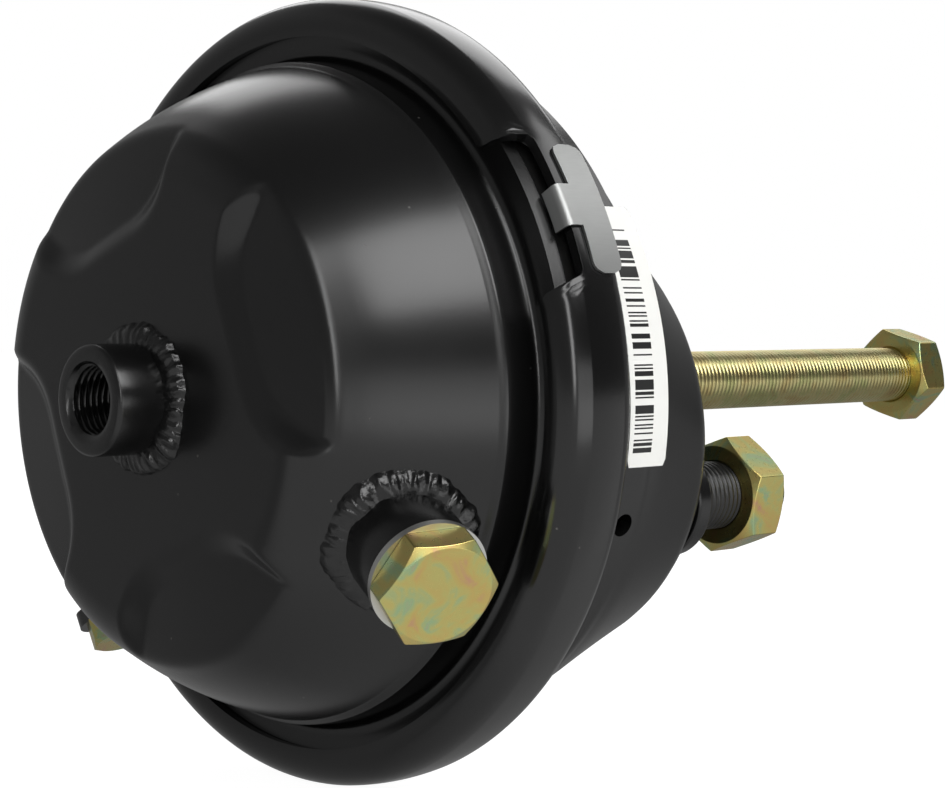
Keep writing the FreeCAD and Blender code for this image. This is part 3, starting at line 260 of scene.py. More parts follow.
HOUSING_ENAMEL = black_enamel("housing_enamel", 0.9, 0.016, 0.24)
CLAMP_ENAMEL = black_enamel("clamp_enamel", 0.7, 0.012, 0.17)
WELD_ENAMEL = black_enamel("enamel_over_weld", 1.1, 0.22, 0.2)
NUT_ZINC = yellow_zinc("nut_zinc", ["#c79184", "#c8b06c", "#c0b873", "#9fb88c", "#c49888"])
ROD_ZINC = yellow_zinc("rod_zinc", ["#a68f66", "#b4a672", "#bbb280", "#a9aa74", "#a68e64"])
WASHER_METAL = bare_sheet("washer_aluminium", "#c9c9c6", 0.34, 0.5)
TAG_METAL = bare_sheet("tag_aluminium", "#9c9d9c", 0.46, 0.35)
STUD_BLACK = dull_coat("stud_phosphate", "#090909", "#141413", 1.2, 0.34, 0.02)
RUBBER = dull_coat("diaphragm_rubber", "#121212", "#1e1d1c", 1.6, 0.7, 0.05)
SPRING_COAT = dull_coat("spring_coat", "#0e0e0f", "#1d1d1d", 2.0, 0.45, 0.03)
LABEL = striped_label("printed_label")


# Mesh work

def finished_piece(name, points, faces, material, body, sharp=35, bevel_mm=0):
    """Make an object of points in metres and faces, and let it ride on a body."""
    mesh = bpy.data.meshes.new(name)
    mesh.from_pydata([tuple(p) for p in points], [], faces)
    work = bmesh.new()
    work.from_mesh(mesh)
    bmesh.ops.remove_doubles(work, verts=work.verts, dist=1e-6)
    bmesh.ops.dissolve_degenerate(work, edges=work.edges, dist=1e-7)
    bmesh.ops.recalc_face_normals(work, faces=work.faces)
    work.to_mesh(mesh)
    work.free()
    mesh.shade_smooth()
    mesh.set_sharp_from_angle(angle=math.radians(sharp))
    mesh.materials.append(material)
    piece = bpy.data.objects.new(name, mesh)
    bpy.context.collection.objects.link(piece)
    if bevel_mm:
        bevel = piece.modifiers.new("edge_break", "BEVEL")
        bevel.width = bevel_mm * MM
        bevel.segments = 2
        bevel.limit_method = "ANGLE"
        bevel.angle_limit = math.radians(sharp)
        bevel.harden_normals = True
    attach(piece, body)
    return piece


def grid_faces(rows, columns, close_rows=False, close_columns=True):
    """Quads between neighbouring rows of points, each row having columns points."""
    faces = []
    for i in range(rows if close_rows else rows - 1):
        for j in range(columns if close_columns else columns - 1):
            k, m = (i + 1) % rows, (j + 1) % columns
            faces.append((i * columns + j, i * columns + m, k * columns + m, k * columns + j))
    return faces


def rounded_line(corners, step):
    """Points along a line of (x, r) or (x, r, fillet) corners, about step apart."""
    points = []
    for i, corner in enumerate(corners):
        here = Vector(corner[:2])
        if len(corner) < 3:
            points.append(here)
            continue
        before = (Vector(corners[i - 1][:2]) - here).normalized()
        after = (Vector(corners[i + 1][:2]) - here).normalized()
        half = before.angle(after) / 2
        reach = corner[2] / math.tan(half)
        centre = here + (before + after).normalized() * (corner[2] / math.sin(half))
        first, last = here + before * reach - centre, here + after * reach - centre
        turn = math.atan2(first.x * last.y - first.y * last.x, first.dot(last))
        parts = max(3, round(abs(turn) * corner[2] / step))
        for n in range(parts + 1):
            points.append(centre + Matrix.Rotation(turn * n / parts, 2) @ first)
    line = [points[0]]
    for a, b in zip(points, points[1:]):
        parts = max(1, round((b - a).length / step))
        line += [a.lerp(b, n / parts) for n in range(1, parts + 1)]
    return line


def offset_line(line, distance):
    """The same line moved to the right of the way it runs, for the sheet's other side."""
    moved = []
    for i, here in enumerate(line):
        run = (line[min(i + 1, len(line) - 1)] - line[max(i - 1, 0)]).normalized()
        moved.append(here + Vector((run.y, -run.x)) * distance)
    return moved


# Pressure housing

CAP_LINE = [
    (-51.3, 11.95), (-51.3, 54.2, 13), (-31.1, 67.6, 100), (-15.5, 73.05, 1.6),
    (-14, 74.3, 0.9), (-5.2, 75.2, 2), (-7.4, 84.2),
]
CAP_WALL, RELIEF_DEPTH = 3, 2.2
CAP_END, CAP_INNER_END = -51.3, -48.3
RECESS_START, RECESS_HALF_WIDTH, RECESS_SPREAD = 36.5, 16.5, 1.0
RECESS_SLOPE, RECESS_WALL, RECESS_CORNER = 0.133, 5.6, 6
SHOULDER_EDGE, SOFTEST_CREASE = 62, 1.9


def relief(r, angle):
    """Depth pressed into the closed end: four sloping recesses between the arms."""
    a = math.radians((angle - STUD_TURN) % 90 - 45)
    along, across = r * math.cos(a), r * math.sin(a)
    from_hub = along - RECESS_START
    half_width = RECESS_HALF_WIDTH + from_hub * RECESS_SPREAD
    from_side = (half_width - abs(across)) / math.hypot(1, RECESS_SPREAD)
    inside = -soft_max(-from_hub, -from_side, RECESS_CORNER)
    floor_drop = RELIEF_DEPTH + RECESS_SLOPE * (r - RECESS_START)
    # the wall starts gently at its top and meets the floor in a firmer crease
    down = min(1, max(0, inside / RECESS_WALL + 0.66))
    gentle, firm = smooth(down), 1 - math.cos(down * math.pi / 2)
    return floor_drop * (0.45 * gentle + 0.55 * firm)


def pressure_housing():
    """Deep-drawn cap: recessed end, dome, step, neck and flange, as one closed sheet."""
    outside = rounded_line(CAP_LINE, 0.8)
    inside = offset_line(outside, CAP_WALL)[::-1]
    columns = 400
    points = []
    for side, end_x in ((outside, CAP_END), (inside, CAP_INNER_END)):
        for x, r in side:
            for j in range(columns):
                angle = 360 * j / columns
                drop = relief(r, angle) if r < SHOULDER_EDGE else 0
                crease = 0.01 + min(SOFTEST_CREASE, drop)
                points.append(spot(soft_max(x, end_x + drop, crease), r, angle))
    faces = grid_faces(len(outside) * 2, columns, True)
    piece = finished_piece("pressure_housing_skin", points, faces, HOUSING_ENAMEL, "chamber")
    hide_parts("pressure_housing")


# Threads

THREAD_PITCH, ROWS_PER_TURN = 1.5, 8
M16_CREST, M16_FLATS, M16_BORE = 7.9, 24, 7.3


def thread_radius(x, angle, crest, depth):
    """Radius of a right-hand thread with flattened crests and roots."""
    phase = (x / THREAD_PITCH - angle / 360) % 1
    rise = abs(phase - 0.5) * 2
    return crest - depth * min(1, max(0, (rise - 0.42) / 0.46))


def thread_rows(start, end):
    """Positions along a thread, close enough to show each turn."""
    count = max(2, round((end - start) / THREAD_PITCH * ROWS_PER_TURN))
    return [start + (end - start) * i / count for i in range(count + 1)]


def threaded_bar(name, place, profile, crest, thread_from, thread_to, material, body,
                 ends=1.2, depth=0.5):
    """A turned bar whose outside is threaded between two positions along it.

    profile is the plain part before the thread, as (x, r); place maps (x, r, angle);
    ends is the length of the cone at the thread's free end.
    """
    columns = 48
    rows = [(x, r, False) for x, r in profile]
    rows += [(x, crest, True) for x in thread_rows(thread_from, thread_to)]
    points = []
    for x, r, threaded in rows:
        for j in range(columns):
            angle = 360 * j / columns
            radius = r
            if threaded:
                end_cone = crest - max(0, ends - (thread_to - x)) ** 1.6 * 0.9
                radius = min(thread_radius(x, angle, crest, depth), end_cone)
            points.append(place(x, radius, angle))
    faces = grid_faces(len(rows), columns)
    for row in (0, len(rows) - 1):
        hub = len(points)
        points.append(place(rows[row][0], 0, 0))
        ring = [row * columns + j for j in range(columns)]
        faces += [(ring[j], ring[(j + 1) % columns], hub) for j in range(columns)]
    return finished_piece(name, points, faces, material, body, sharp=50)


def at_stud(side):
    """Places a piece at one of the two studs."""
    centre = spot(0, STUD_CENTRE_R * side, STUD_TURN) - spot(0, 0, 0)

    def place(x, r, angle):
        return centre + spot(x, r, angle)
    return place


# Hexagons

def hexagon(name, place, flats, start, end, bore, spin, material, body, chamfered=(True, True)):
    """Hexagon nut or head between two positions, with 30 degree corner chamfers."""
    columns, lead = 144, 0.9
    flat = flats / 2
    face_r = flat * 0.95
    points = []
    for j in range(columns):
        angle = 360 * j / columns
        corner = flat / math.cos(math.radians((angle - spin) % 60 - 30))
        rise = (corner - face_r) * math.tan(math.radians(30))
        near = rise if chamfered[0] else 0
        far = rise if chamfered[1] else 0
        near_r = face_r if chamfered[0] else corner
        far_r = face_r if chamfered[1] else corner
        if bore:
            outline = [(start, bore + lead), (start, near_r), (start + near, corner),
                       (end - far, corner), (end, far_r), (end, bore + lead),
                       (end - lead, bore), (start + lead, bore)]
        else:
            outline = [(start, 0), (start, near_r), (start + near, corner),
                       (end - far, corner), (end, far_r), (end, 0)]
        points += [place(x, r, angle) for x, r in outline]
    faces = grid_faces(columns, len(outline), True, bool(bore))
    return finished_piece(name, points, faces, material, body, sharp=24, bevel_mm=0.22)


# Clamp band

CLAMP_LINE = [(-9.6, 80.3), (-11, 88.2, 6.5), (0, 89.75, 34), (11, 88.2, 6.5), (9.6, 80.3)]
CLAMP_SHEET, CLAMP_CROWN_R = 2.5, 88
NOTCH_TURN, NOTCH_HALF, NOTCH_EASE, STRAP_FROM = 27.2, 13.3, 3.6, -4
SPLIT_HALF, SPLIT_R = 7.5, 85


def clamp_band():
    """Channel of sheet round both flanges, split at the lugs. At the notch the front lip
    and part of the crown are cut away, and a narrower strap goes on."""
    line = rounded_line(CLAMP_LINE, 0.7)
    inner = offset_line(line, CLAMP_SHEET)
    lengths = [0]
    for a, b in zip(line, line[1:]):
        lengths.append(lengths[-1] + (b - a).length)
    strap_start = next(length for length, p in zip(lengths, line)
                       if p.x > STRAP_FROM and p.y > CLAMP_CROWN_R)
    half_split = math.degrees(math.asin(SPLIT_HALF / SPLIT_R))
    columns, rows = 480, 46
    points = []
    for j in range(columns + 1):
        turn = half_split + (360 - 2 * half_split) * j / columns
        angle = CLAMP_TURN - 180 + turn
        away = abs((angle - NOTCH_TURN + 180) % 360 - 180)
        first = strap_start * smooth((NOTCH_HALF - away) / NOTCH_EASE)
        ring = []
        for i in range(rows):
            length = first + (lengths[-1] - first) * i / (rows - 1)
            k = min(len(line) - 2, bisect_right(lengths, length) - 1)
            t = (length - lengths[k]) / (lengths[k + 1] - lengths[k])
            ring.append((line[k].lerp(line[k + 1], t), inner[k].lerp(inner[k + 1], t)))
        loop = [o for o, _ in ring] + [i for _, i in reversed(ring)]
        points += [spot(p.x, p.y, angle) for p in loop]
    count = rows * 2
    faces = grid_faces(columns + 1, count)
    for end in (0, columns):
        base = end * count
        faces += [(base + i, base + i + 1, base + count - 2 - i, base + count - 1 - i)
                  for i in range(rows - 1)]
    piece = finished_piece("clamp_band_skin", points, faces, CLAMP_ENAMEL, "chamber",
                           bevel_mm=0.5)
    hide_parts("clamp_band")


# Non-pressure housing

BOWL = {"straight": 25, "depth": 52, "radius": 79, "offset": 27, "lobe": 47.2, "wall": 3,
        "fillet": 5.0, "rod_hole": 17}
BOWL_FLANGE = [(7.4, 84.2), (6.13, BOWL["radius"], 2), (BOWL["straight"], BOWL["radius"])]
WEEP_X, WEEP_RADIUS, WEEP_TURN = 20, 2.6, STUD_TURN + 4


def bowl_ring(x_share, inset, part, t):
    """Point (along studs, across studs) of the drawn end at a share of its length."""
    radius, lobe = BOWL["radius"] - inset, BOWL["lobe"] - inset
    starts = {"right": (-60, 60), "top": (60, 120), "left": (120, 240), "bottom": (240, 300)}
    a0, a1 = starts[part]
    a = math.radians(a0 + (a1 - a0) * t)
    round_point = Vector((radius * math.cos(a), radius * math.sin(a)))
    if part in ("right", "left"):
        side = 1 if part == "right" else -1
        b = math.radians(-90 + 180 * t)
        lobe_point = Vector((side * (BOWL["offset"] + lobe * math.cos(b)),
                             side * lobe * math.sin(b)))
    else:
        side = 1 if part == "top" else -1
        lobe_point = Vector((side * BOWL["offset"] * (1 - 2 * t), side * lobe))
    return round_point.lerp(lobe_point, x_share)


def bowl_columns():
    """Part of the lobed outline and share of it, for each column of points."""
    columns = []
    for part, count in (("right", 88), ("top", 44), ("left", 88), ("bottom", 44)):
        columns += [(part, i / count) for i in range(count)]
    return columns


def bowl_place(x, point):
    """From along-studs and across-studs to the frame."""
    a = math.radians(STUD_TURN)
    along = Vector((0, -math.cos(a), math.sin(a)))
    across = Vector((0, math.sin(a), math.cos(a)))
    return (Vector((x - SEAT_TO_CLAMP, 0, 0)) + along * point.x + across * point.y) * MM


def non_pressure_housing():
    """Pressed bowl: flange, round wall, then a drawn end that narrows to two lobes."""
    columns = bowl_columns()
    straight, depth, radius = BOWL["straight"], BOWL["depth"], BOWL["radius"]
    wall, fillet = BOWL["wall"], BOWL["fillet"]
    rows = []
    flange = rounded_line(BOWL_FLANGE, 1.2)
    for p in flange[:-1]:
        rows.append([bowl_place(p.x, bowl_ring(0, radius - p.y, *c)) for c in columns])
    # the drawn wall, eased into the round part, and the fillet round the flat end
    steps = 22
    for i in range(steps + 1):
        share = i / steps
        x = straight + (depth - straight) * share
        over = max(0, x - (depth - fillet))
        inset = fillet - math.sqrt(fillet * fillet - over * over) if over else 0
        eased = soft_max(share, 0, 0.22)
        rows.append([bowl_place(x, bowl_ring(min(1, eased), inset, *c)) for c in columns])
    for k in range(1, 5):
        a = math.radians(90 * (0.72 + 0.07 * k))
        x = depth - fillet * (1 - math.sin(a))
        share = min(1, (x - straight) / (depth - straight))
        rows.append([bowl_place(x, bowl_ring(share, fillet * (1 - math.cos(a)), *c))
                     for c in columns])
    hole = [Vector((BOWL["rod_hole"] * math.cos(a), BOWL["rod_hole"] * math.sin(a)))
            for a in bowl_angles(columns)]
    for t in (0.25, 0.5, 0.75, 1.0):
        rows.append([bowl_place(depth, bowl_ring(1, fillet, *c).lerp(h, t))
                     for c, h in zip(columns, hole)])
    for t in (1.0, 0.0):
        rows.append([bowl_place(depth - wall, bowl_ring(1, fillet, *c).lerp(h, t))
                     for c, h in zip(columns, hole)])
    # back along the inside, with a looser fillet, to the flange
    inner_steps = 12
    for i in range(inner_steps, -1, -1):
        share = i / inner_steps
        x = straight + (depth - wall - straight) * share
        over = max(0, x - (depth - wall - 2))
        rows.append([bowl_place(x, bowl_ring(share, wall + over * 0.5, *c)) for c in columns])
    for p in offset_line(flange, wall)[-2::-1]:
        rows.append([bowl_place(p.x, bowl_ring(0, radius - p.y, *c)) for c in columns])
    points = [p for row in rows for p in row]
    faces = grid_faces(len(rows), len(columns), True)
    piece = finished_piece("non_pressure_housing_skin", points, faces, HOUSING_ENAMEL,
                           "chamber", sharp=40)
    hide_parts("non_pressure_housing")
    return piece


def bowl_angles(columns):
    """Angle of each column's point at the flat end, to match the rod hole to it."""
    angles = []
    for part, t in columns:
        point = bowl_ring(1, BOWL["fillet"], part, t)
        angles.append(math.atan2(point.y, point.x))
    return angles


def weep_holes(housing):
    """Drill the four weep holes through the housing's wall."""
    along, sides = Vector((1, 0, 0)), 24
    for n in range(4):
        angle = WEEP_TURN + 90 * n
        out = (spot(WEEP_X, 1, angle) - spot(WEEP_X, 0, angle)).normalized()
        across = along.cross(out)
        points = []
        for r in (BOWL["radius"] - 7, BOWL["radius"] + 5):
            for j in range(sides):
                a = math.radians(360 / sides * j)
                rim = (along * math.cos(a) + across * math.sin(a)) * WEEP_RADIUS * MM
                points.append(spot(WEEP_X, r, angle) + rim)
        faces = grid_faces(2, sides) + [tuple(range(sides)), tuple(range(sides, 2 * sides))]
        mesh = bpy.data.meshes.new("drill")
        mesh.from_pydata([tuple(p) for p in points], [], faces)
        work = bmesh.new()
        work.from_mesh(mesh)
        bmesh.ops.recalc_face_normals(work, faces=work.faces)
        work.to_mesh(mesh)
        work.free()
        drill = bpy.data.objects.new("drill", mesh)
        bpy.context.collection.objects.link(drill)
        cut = housing.modifiers.new("weep_hole", "BOOLEAN")
        cut.object = drill
        cut.solver = "EXACT"
        bpy.context.view_layer.update()
        graph = bpy.context.evaluated_depsgraph_get()
        drilled = bpy.data.meshes.new_from_object(housing.evaluated_get(graph))
        housing.modifiers.remove(cut)
        housing.data = drilled
        bpy.data.objects.remove(drill)


# Ports

SUPPLY_FACE_X = -64.6
BOSS_RADIUS, PASSAGE_RADIUS = 11.9, 4.5
MOUTH_RADIUS, MOUTH_CREST, MOUTH_DEPTH = 8.05, 7.25, 0.78


def port_point(x, r, angle):
    """A point on the side port's axis frame: x outwards from the port's face."""
    lean = math.radians(PORT_LEAN)
    turn = math.radians(PORT_TURN)
    radial = Vector((0, -math.cos(turn), math.sin(turn)))
    out = Vector((-math.sin(lean), 0, 0)) + radial * math.cos(lean)
    first = Vector((math.cos(lean), 0, 0)) + radial * math.sin(lean)
    second = out.cross(first)
    a = math.radians(angle)
    face = Vector((PORT_X - SEAT_TO_CLAMP, 0, 0)) + radial * PORT_R
    return (face + out * x + (first * math.cos(a) + second * math.sin(a)) * r) * MM


def centre_port_point(x, r, angle):
    """A point about the supply port, in the middle of the closed end."""
    return spot(SUPPLY_FACE_X - x, r, angle)


def port_boss(name, place, node, length):
    """Welded boss with a threaded mouth and a passage through: x is outwards from its
    face."""
    columns = 72
    rows = [(-length, BOSS_RADIUS), (-length * 0.5, BOSS_RADIUS), (-1.0, BOSS_RADIUS),
            (-0.55, 11.75), (-0.15, 11.35), (0, 10.9), (0, 9.4), (0, 8.35)]
    rows += [(-x, None) for x in thread_rows(0.9, 12.4)]
    rows += [(-13.0, 7.0), (-13.4, PASSAGE_RADIUS), (-length, PASSAGE_RADIUS)]
    points = []
    for x, r in rows:
        for j in range(columns):
            angle = 360 * j / columns
            radius = r
            if r is None:
                radius = (MOUTH_CREST + MOUTH_RADIUS
                          - thread_radius(x, angle, MOUTH_RADIUS, MOUTH_DEPTH))
                radius = max(MOUTH_CREST, min(MOUTH_RADIUS, radius))
            points.append(place(x, radius, angle))
    faces = grid_faces(len(rows), columns, True)
    piece = finished_piece(name, points, faces, HOUSING_ENAMEL, "chamber", sharp=45)
    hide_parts(node)


def weld_bead(name, place, node, foot, leg, seed):
    """A hand-laid bead in the corner between a boss and the sheet it stands on.

    foot gives the sheet's height (x) under a point beside the boss, at (r, angle); leg is
    the bead's width and seed sets its unevenness apart from the other bead's.
    """
    columns, sections, ripples = 440, 9, 37
    points = []
    for j in range(columns):
        angle = 360 * j / columns
        spotted = Vector((math.cos(math.radians(angle)), math.sin(math.radians(angle)), seed))
        wander = noise.noise(spotted * 1.7)
        lump = noise.noise(spotted * 5.5 + Vector((0, 3, 0)))
        ripple = math.cos(math.radians(angle * ripples) + 5 * noise.noise(spotted * 2.6))
        size = leg * (1 + 0.34 * wander + 0.12 * lump + 0.02 * ripple)
        high = size * (0.62 + 0.3 * noise.noise(spotted * 3.0 + Vector((5, 0, 0))))
        for i in range(sections):
            t = i / (sections - 1)
            a = math.radians(90 * t)
            streak = noise.noise(spotted * 9 + Vector((0, 0, 2.2 * t)))
            bulge = 1 + math.sin(math.pi * t) * (0.02 + 0.04 * ripple + 0.13 * streak)
            out, up = size * math.cos(a) * bulge, high * math.sin(a) * bulge
            lean = 2.5 * math.sin(math.pi * t) * (0.3 + streak)
            # the toe reaches a little further out and down into the sheet
            r = BOSS_RADIUS - 0.4 + out + (0.4 if i == 0 else 0)
            x = foot(r, angle + lean) + up * 0.86 - (0.25 if i == 0 else 0)
            points.append(place(x, r, angle + lean))
        root_r = BOSS_RADIUS - 0.6
        points.append(place(foot(root_r, angle) - 0.5, root_r, angle))
    faces = grid_faces(columns, sections + 1, True)
    piece = finished_piece(name, points, faces, WELD_ENAMEL, "chamber", sharp=75)
    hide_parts(node)


CAP_PROFILE = rounded_line(CAP_LINE, 1.0)


def cap_radius(x):
    """Outside radius of the pressure housing at x, recesses left aside."""
    for a, b in zip(CAP_PROFILE, CAP_PROFILE[1:]):
        if a.x <= x <= b.x and b.x > a.x:
            return a.y + (b.y - a.y) * (x - a.x) / (b.x - a.x)
    return 0.0 if x < CAP_PROFILE[0].x else 75.0


def dome_height(r, angle):
    """Height of the dome along the side port's axis, below a point beside the boss, found
    by halving the stretch that it lies in."""
    low, high = -20.0, 6.0
    for _ in range(26):
        middle = (low + high) / 2
        p = port_point(middle, r, angle) / MM
        x, radius = p.x + SEAT_TO_CLAMP, math.hypot(p.y, p.z)
        if radius > cap_radius(x):
            high = middle
        else:
            low = middle
    return low


# Name tag and label

TAB_FROM, TAB_TO = 23.4, 29.4


def curved_sheet(name, radius, thick, start, end, first, last, corner, material, lean=0):
    """Thin sheet with rounded corners bent round the axis.

    It runs from start to end along the axis and from the angle first to last; lean is
    how much further along the axis its far end lies.
    """
    span = math.radians(last - first) * radius
    half_width = (end - start) / 2
    rows, across = 40, 8
    points, faces = [], []
    for r in (radius, radius + thick):
        for i in range(rows + 1):
            u = -span / 2 + span * i / rows
            # the sheet's edges pull in round its corners
            reach = half_width
            past = abs(u) - (span / 2 - corner)
            if past > 0:
                reach -= corner - math.sqrt(max(0, corner * corner - past * past))
            for j in range(across + 1):
                v = -reach + 2 * reach * j / across
                x = (start + end) / 2 + v + lean * i / rows
                points.append(spot(x, r, first + math.degrees((u + span / 2) / radius)))
    count = across + 1
    layer = (rows + 1) * count
    for i in range(rows):
        for j in range(across):
            a, b = i * count + j, i * count + j + 1
            faces.append((a, b, b + count, a + count))
            faces.append((layer + a, layer + a + count, layer + b + count, layer + b))
    rim = list(range(count))
    rim += [i * count + across for i in range(1, rows + 1)]
    rim += [rows * count + j for j in range(across - 1, -1, -1)]
    rim += [i * count for i in range(rows - 1, 0, -1)]
    faces += [(a, layer + a, layer + b, b) for a, b in zip(rim, rim[1:] + rim[:1])]
    return finished_piece(name, points, faces, material, "chamber", sharp=50)


def name_tag():
    """Blank aluminium tag on the crown, hooked into the notch by its folded tab."""
    plate = curved_sheet("blank_tag_plate", 89.5, 0.6, -0.8, 7.4, 16.8, 35.8, 2.6, TAG_METAL)
    bend = rounded_line([(1.5, 90.1), (-4.75, 90.1, 1.3), (-4.75, 85.8)], 0.5)
    loop = bend + offset_line(bend, -0.6)[::-1]
    columns, count = 12, len(loop)
    points = []
    for j in range(columns + 1):
        angle = TAB_FROM + (TAB_TO - TAB_FROM) * j / columns
        points += [spot(p.x, p.y, angle) for p in loop]
    faces = grid_faces(columns + 1, count)
    for base in (0, columns * count):
        faces += [(base + i, base + i + 1, base + count - 2 - i, base + count - 1 - i)
                  for i in range(len(bend) - 1)]
    tab = finished_piece("tag_tab", points, faces, TAG_METAL, "chamber", sharp=50)
    for piece in (plate, tab):
        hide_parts("name_tag")


# Camera, lamps, floor and sky

CAMERA_TURN, CAMERA_LIFT, CAMERA_ROLL = -43.393, 1.944, -0.198
PHOTO_WIDTH, FOCAL_PIXELS, SENSOR = 945, 2215.33, 36
CHAMBER_MIDDLE = Vector((-0.05, 0, 0))


def photograph_camera():
    """The camera stands half a metre in front and to the left of the closed end."""
    turn, lift, roll = (math.radians(v) for v in (CAMERA_TURN, CAMERA_LIFT, CAMERA_ROLL))
    back = Vector((math.sin(turn) * math.cos(lift), -math.cos(turn) * math.cos(lift),
                   math.sin(lift)))
    right = Vector((math.cos(turn), math.sin(turn), 0))
    up = back.cross(right)
    right, up = (right * math.cos(roll) + up * math.sin(roll),
                 up * math.cos(roll) - right * math.sin(roll))
    camera = bpy.data.objects.new("photograph_camera", bpy.data.cameras.new("lens"))
    place = right * 33.759 + up * -0.276 + back * 508.826 - Vector((SEAT_TO_CLAMP, 0, 0))
    axes = Matrix((right, up, back)).transposed().to_4x4()
    camera.matrix_world = Matrix.Translation(place * MM) @ axes
    camera.data.sensor_width = SENSOR
    camera.data.lens = FOCAL_PIXELS * SENSOR / PHOTO_WIDTH
    camera.data.clip_start = 0.01
    bpy.context.collection.objects.link(camera)
    bpy.context.scene.camera = camera


def softbox(name, place, size, watts):
    """A white area lamp turned to the chamber, unseen by the camera itself."""
    lamp = bpy.data.lights.new(name, "AREA")
    lamp.shape = "RECTANGLE"
    lamp.size, lamp.size_y = size
    lamp.energy = watts
    box = bpy.data.objects.new(name, lamp)
    box.location = place
    box.rotation_euler = (CHAMBER_MIDDLE - place).to_track_quat("-Z", "Y").to_euler()
    box.visible_camera = False
    bpy.context.collection.objects.link(box)


def toward(side, lift, distance):
    """A place so far from the chamber, side degrees right of the camera and lift up."""
    a, e = math.radians(side - 43.4), math.radians(lift)
    return Vector((math.sin(a) * math.cos(e), -math.cos(a) * math.cos(e),
                   math.sin(e))) * distance + CHAMBER_MIDDLE


def studio():
    """A bright softbox high on the right of the camera with a low card under it, a narrow
    strip over the camera and two softboxes behind; the room around them is dim."""
    softbox("key_softbox", toward(42, 42, 1.3), (0.9, 0.68), 11.2)
    softbox("strip_softbox", toward(1, 26, 1.3), (0.2, 1.25), 4.9)
    softbox("low_card", toward(36, -4, 0.5), (0.4, 0.2), 0.38)
    softbox("right_softbox", toward(107, 40, 1.4), (0.8, 0.5), 2.9)
    softbox("back_softbox", toward(175, 40, 1.5), (1.2, 0.8), 6.0)
    world = bpy.data.worlds.new("studio")
    bpy.context.scene.world = world
    world.use_nodes = True
    tree = world.node_tree
    sky = tree.nodes["Background"]
    path = add_node(tree, "ShaderNodeLightPath")
    seen = add_node(tree, "ShaderNodeMath", {"operation": "MAXIMUM"},
                    {0: path.outputs["Is Camera Ray"], 1: path.outputs["Is Transmission Ray"]})
    # camera and transmission rays see the white sweep, paint and metal a dim room that darkens
    # towards the camera's right and overhead, and other rays a plain grey
    way = add_node(tree, "ShaderNodeTexCoord").outputs["Generated"]
    facing = add_node(tree, "ShaderNodeVectorMath",
                      {"operation": "DOT_PRODUCT", 1: (0.45, -0.9, 0.0)}, {0: way})
    room = ramp(tree, facing.outputs["Value"], [(0.0, 0.27), (0.55, 0.20), (0.95, 0.09)])
    lifted = add_node(tree, "ShaderNodeSeparateXYZ", {}, {0: way})
    ceiling = ramp(tree, lifted.outputs["Z"], [(0.55, 1.0), (0.95, 0.4)])
    dimmed = add_node(tree, "ShaderNodeMix",
                      {"data_type": "RGBA", "blend_type": "MULTIPLY", 0: 1.0},
                      {6: room, 7: ceiling})
    glossy = add_node(tree, "ShaderNodeMix", {"data_type": "RGBA", 6: [0.17, 0.17, 0.175, 1]},
                      {0: path.outputs["Is Glossy Ray"], 7: dimmed.outputs[2]})
    colour = add_node(tree, "ShaderNodeMix", {"data_type": "RGBA", 7: [1, 1, 1, 1]},
                      {0: seen.outputs[0], 6: glossy.outputs[2]})
    tree.links.new(colour.outputs[2], sky.inputs["Color"])
    sky.inputs["Strength"].default_value = 1.0


def floor():
    """Pale studio floor just under the clamp's lowest point."""
    low, half = box_at_load[0][2] - 0.5 * MM, 6.0
    points = [(-half, -half, low), (half, -half, low), (half, half, low), (-half, half, low)]
    mesh = bpy.data.meshes.new("floor")
    mesh.from_pydata(points, [], [(0, 1, 2, 3)])
    material, tree, shader = new_material("floor_paper", {
        "Base Color": hex_colour("#f4f4f4"), "Roughness": 0.9, "Specular IOR Level": 0.1,
    })
    # the camera sees white paper with the object's soft shadow left in it
    path = add_node(tree, "ShaderNodeLightPath")
    white = add_node(tree, "ShaderNodeEmission", {"Strength": 1.38})
    share = add_node(tree, "ShaderNodeMath", {"operation": "MULTIPLY", 1: 0.7},
                     {0: path.outputs["Is Camera Ray"]})
    seen = add_node(tree, "ShaderNodeMixShader", {},
                    {0: share.outputs[0], 1: shader.outputs["BSDF"], 2: white.outputs[0]})
    # paint and metal see painted light on it: an emission that is a painted shadow, dim under
    # the object, and a painted pool of the key softbox's light, brighter in front
    place = add_node(tree, "ShaderNodeNewGeometry").outputs["Position"]
    depth = add_node(tree, "ShaderNodeVectorMath",
                     {"operation": "DOT_PRODUCT", 1: (0.4, 1.0, 0.0)}, {0: place})
    painted_light_pool = add_node(tree, "ShaderNodeMapRange",
                    {"From Min": -0.05, "From Max": -0.12, "To Min": 0.3, "To Max": 0.8},
                    {"Value": depth.outputs["Value"]})
    # emission whose strength is the painted shadow and painted pool of light that reflections
    # pick up
    dim = add_node(tree, "ShaderNodeEmission", {}, {"Strength": painted_light_pool.outputs["Result"]})
    paper = add_node(tree, "ShaderNodeMixShader", {},
                     {0: path.outputs["Is Glossy Ray"], 1: seen.outputs[0], 2: dim.outputs[0]})
    tree.links.new(paper.outputs["Shader"], tree.nodes["Material Output"].inputs["Surface"])
    mesh.materials.append(material)
    piece = bpy.data.objects.new("floor", mesh)
    bpy.context.collection.objects.link(piece)


# Making everything

photograph_camera()
studio()
floor()
pressure_housing()
clamp_band()
weep_holes(non_pressure_housing())
name_tag()
curved_sheet("bar_label", LABEL_RADIUS + 0.03, 0.12, 17.4, 29.2, -10.6, 31.0, 0.6, LABEL,
             lean=-1.0)

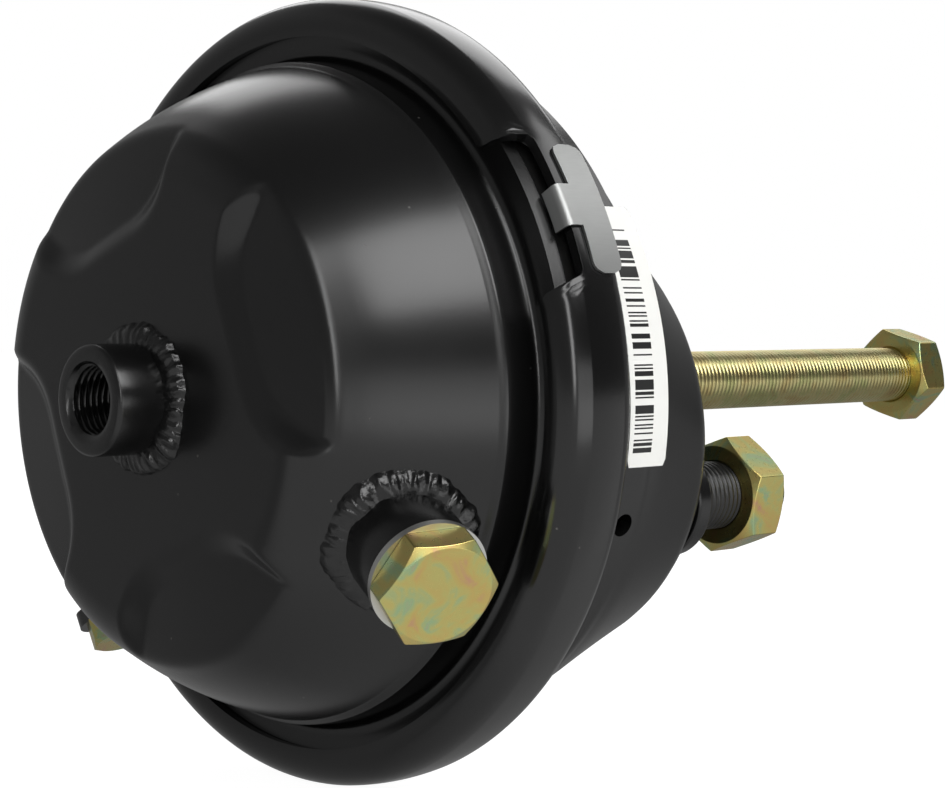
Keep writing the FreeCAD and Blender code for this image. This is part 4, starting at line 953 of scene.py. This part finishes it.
port_boss("supply_boss_skin", centre_port_point, "supply_port_boss", 16.3)
port_boss("side_boss_skin", port_point, "side_port_boss", 16.0)
weld_bead("supply_weld_skin", centre_port_point, "supply_port_weld",
          lambda r, angle: SUPPLY_FACE_X - CAP_END, 4.6, 1.0)
weld_bead("side_weld_skin", port_point, "side_port_weld", dome_height, 4.2, 7.0)

plug_head = hexagon("side_plug_head", port_point, 22, 1.6, 8.1, 0, 12, NUT_ZINC, "chamber",
                    (False, True))
plug_shank = threaded_bar("side_plug_thread", port_point, [], 7.2, -9.4, 1.7, NUT_ZINC,
                          "chamber")
for piece in (plug_head, plug_shank):
    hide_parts("side_port_plug")

# the photograph shows the rod's thread far fainter than the studs'
rod = threaded_bar("pushrod_skin", spot, [(-36.9, M16_CREST), (20, M16_CREST)], M16_CREST,
                   20.5, 228.0, ROD_ZINC, "pusher", depth=0.22)
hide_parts("pushrod")
rod_nut = hexagon("rod_nut_skin", spot, M16_FLATS, 216.3, 227.3, M16_BORE, -17, NUT_ZINC,
                  "pusher")
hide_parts("rod_nut")
for side, word in ((1, "near"), (-1, "far")):
    stud = threaded_bar(f"stud_{word}", at_stud(side), [
        (41.9, 10.5), (45.9, 10.5), (45.9, M16_CREST), (56.0, M16_CREST)], M16_CREST,
        56.3, 90.5, STUD_BLACK, "chamber", ends=2.2)
    nut = hexagon(f"stud_nut_{word}", at_stud(side), M16_FLATS, 72.3, 83.3, M16_BORE, 20,
                  NUT_ZINC, "chamber")
    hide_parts("mounting_studs")
    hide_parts("stud_nuts")

CAD_FINISHES = {
    "clamp_lugs": CLAMP_ENAMEL, "clamp_bolt": NUT_ZINC, "clamp_nut": NUT_ZINC,
    "diaphragm": RUBBER, "stud_plate": HOUSING_ENAMEL, "stud_collars": HOUSING_ENAMEL,
    "push_plate": ROD_ZINC, "pushrod_weld": ROD_ZINC, "return_spring": SPRING_COAT,
    "side_port_washer": WASHER_METAL,
}
for node, material in CAD_FINISHES.items():
    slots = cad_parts[node].data.materials
    slots.clear()
    slots.append(material)

bpy.context.scene.view_settings.view_transform = "Standard"
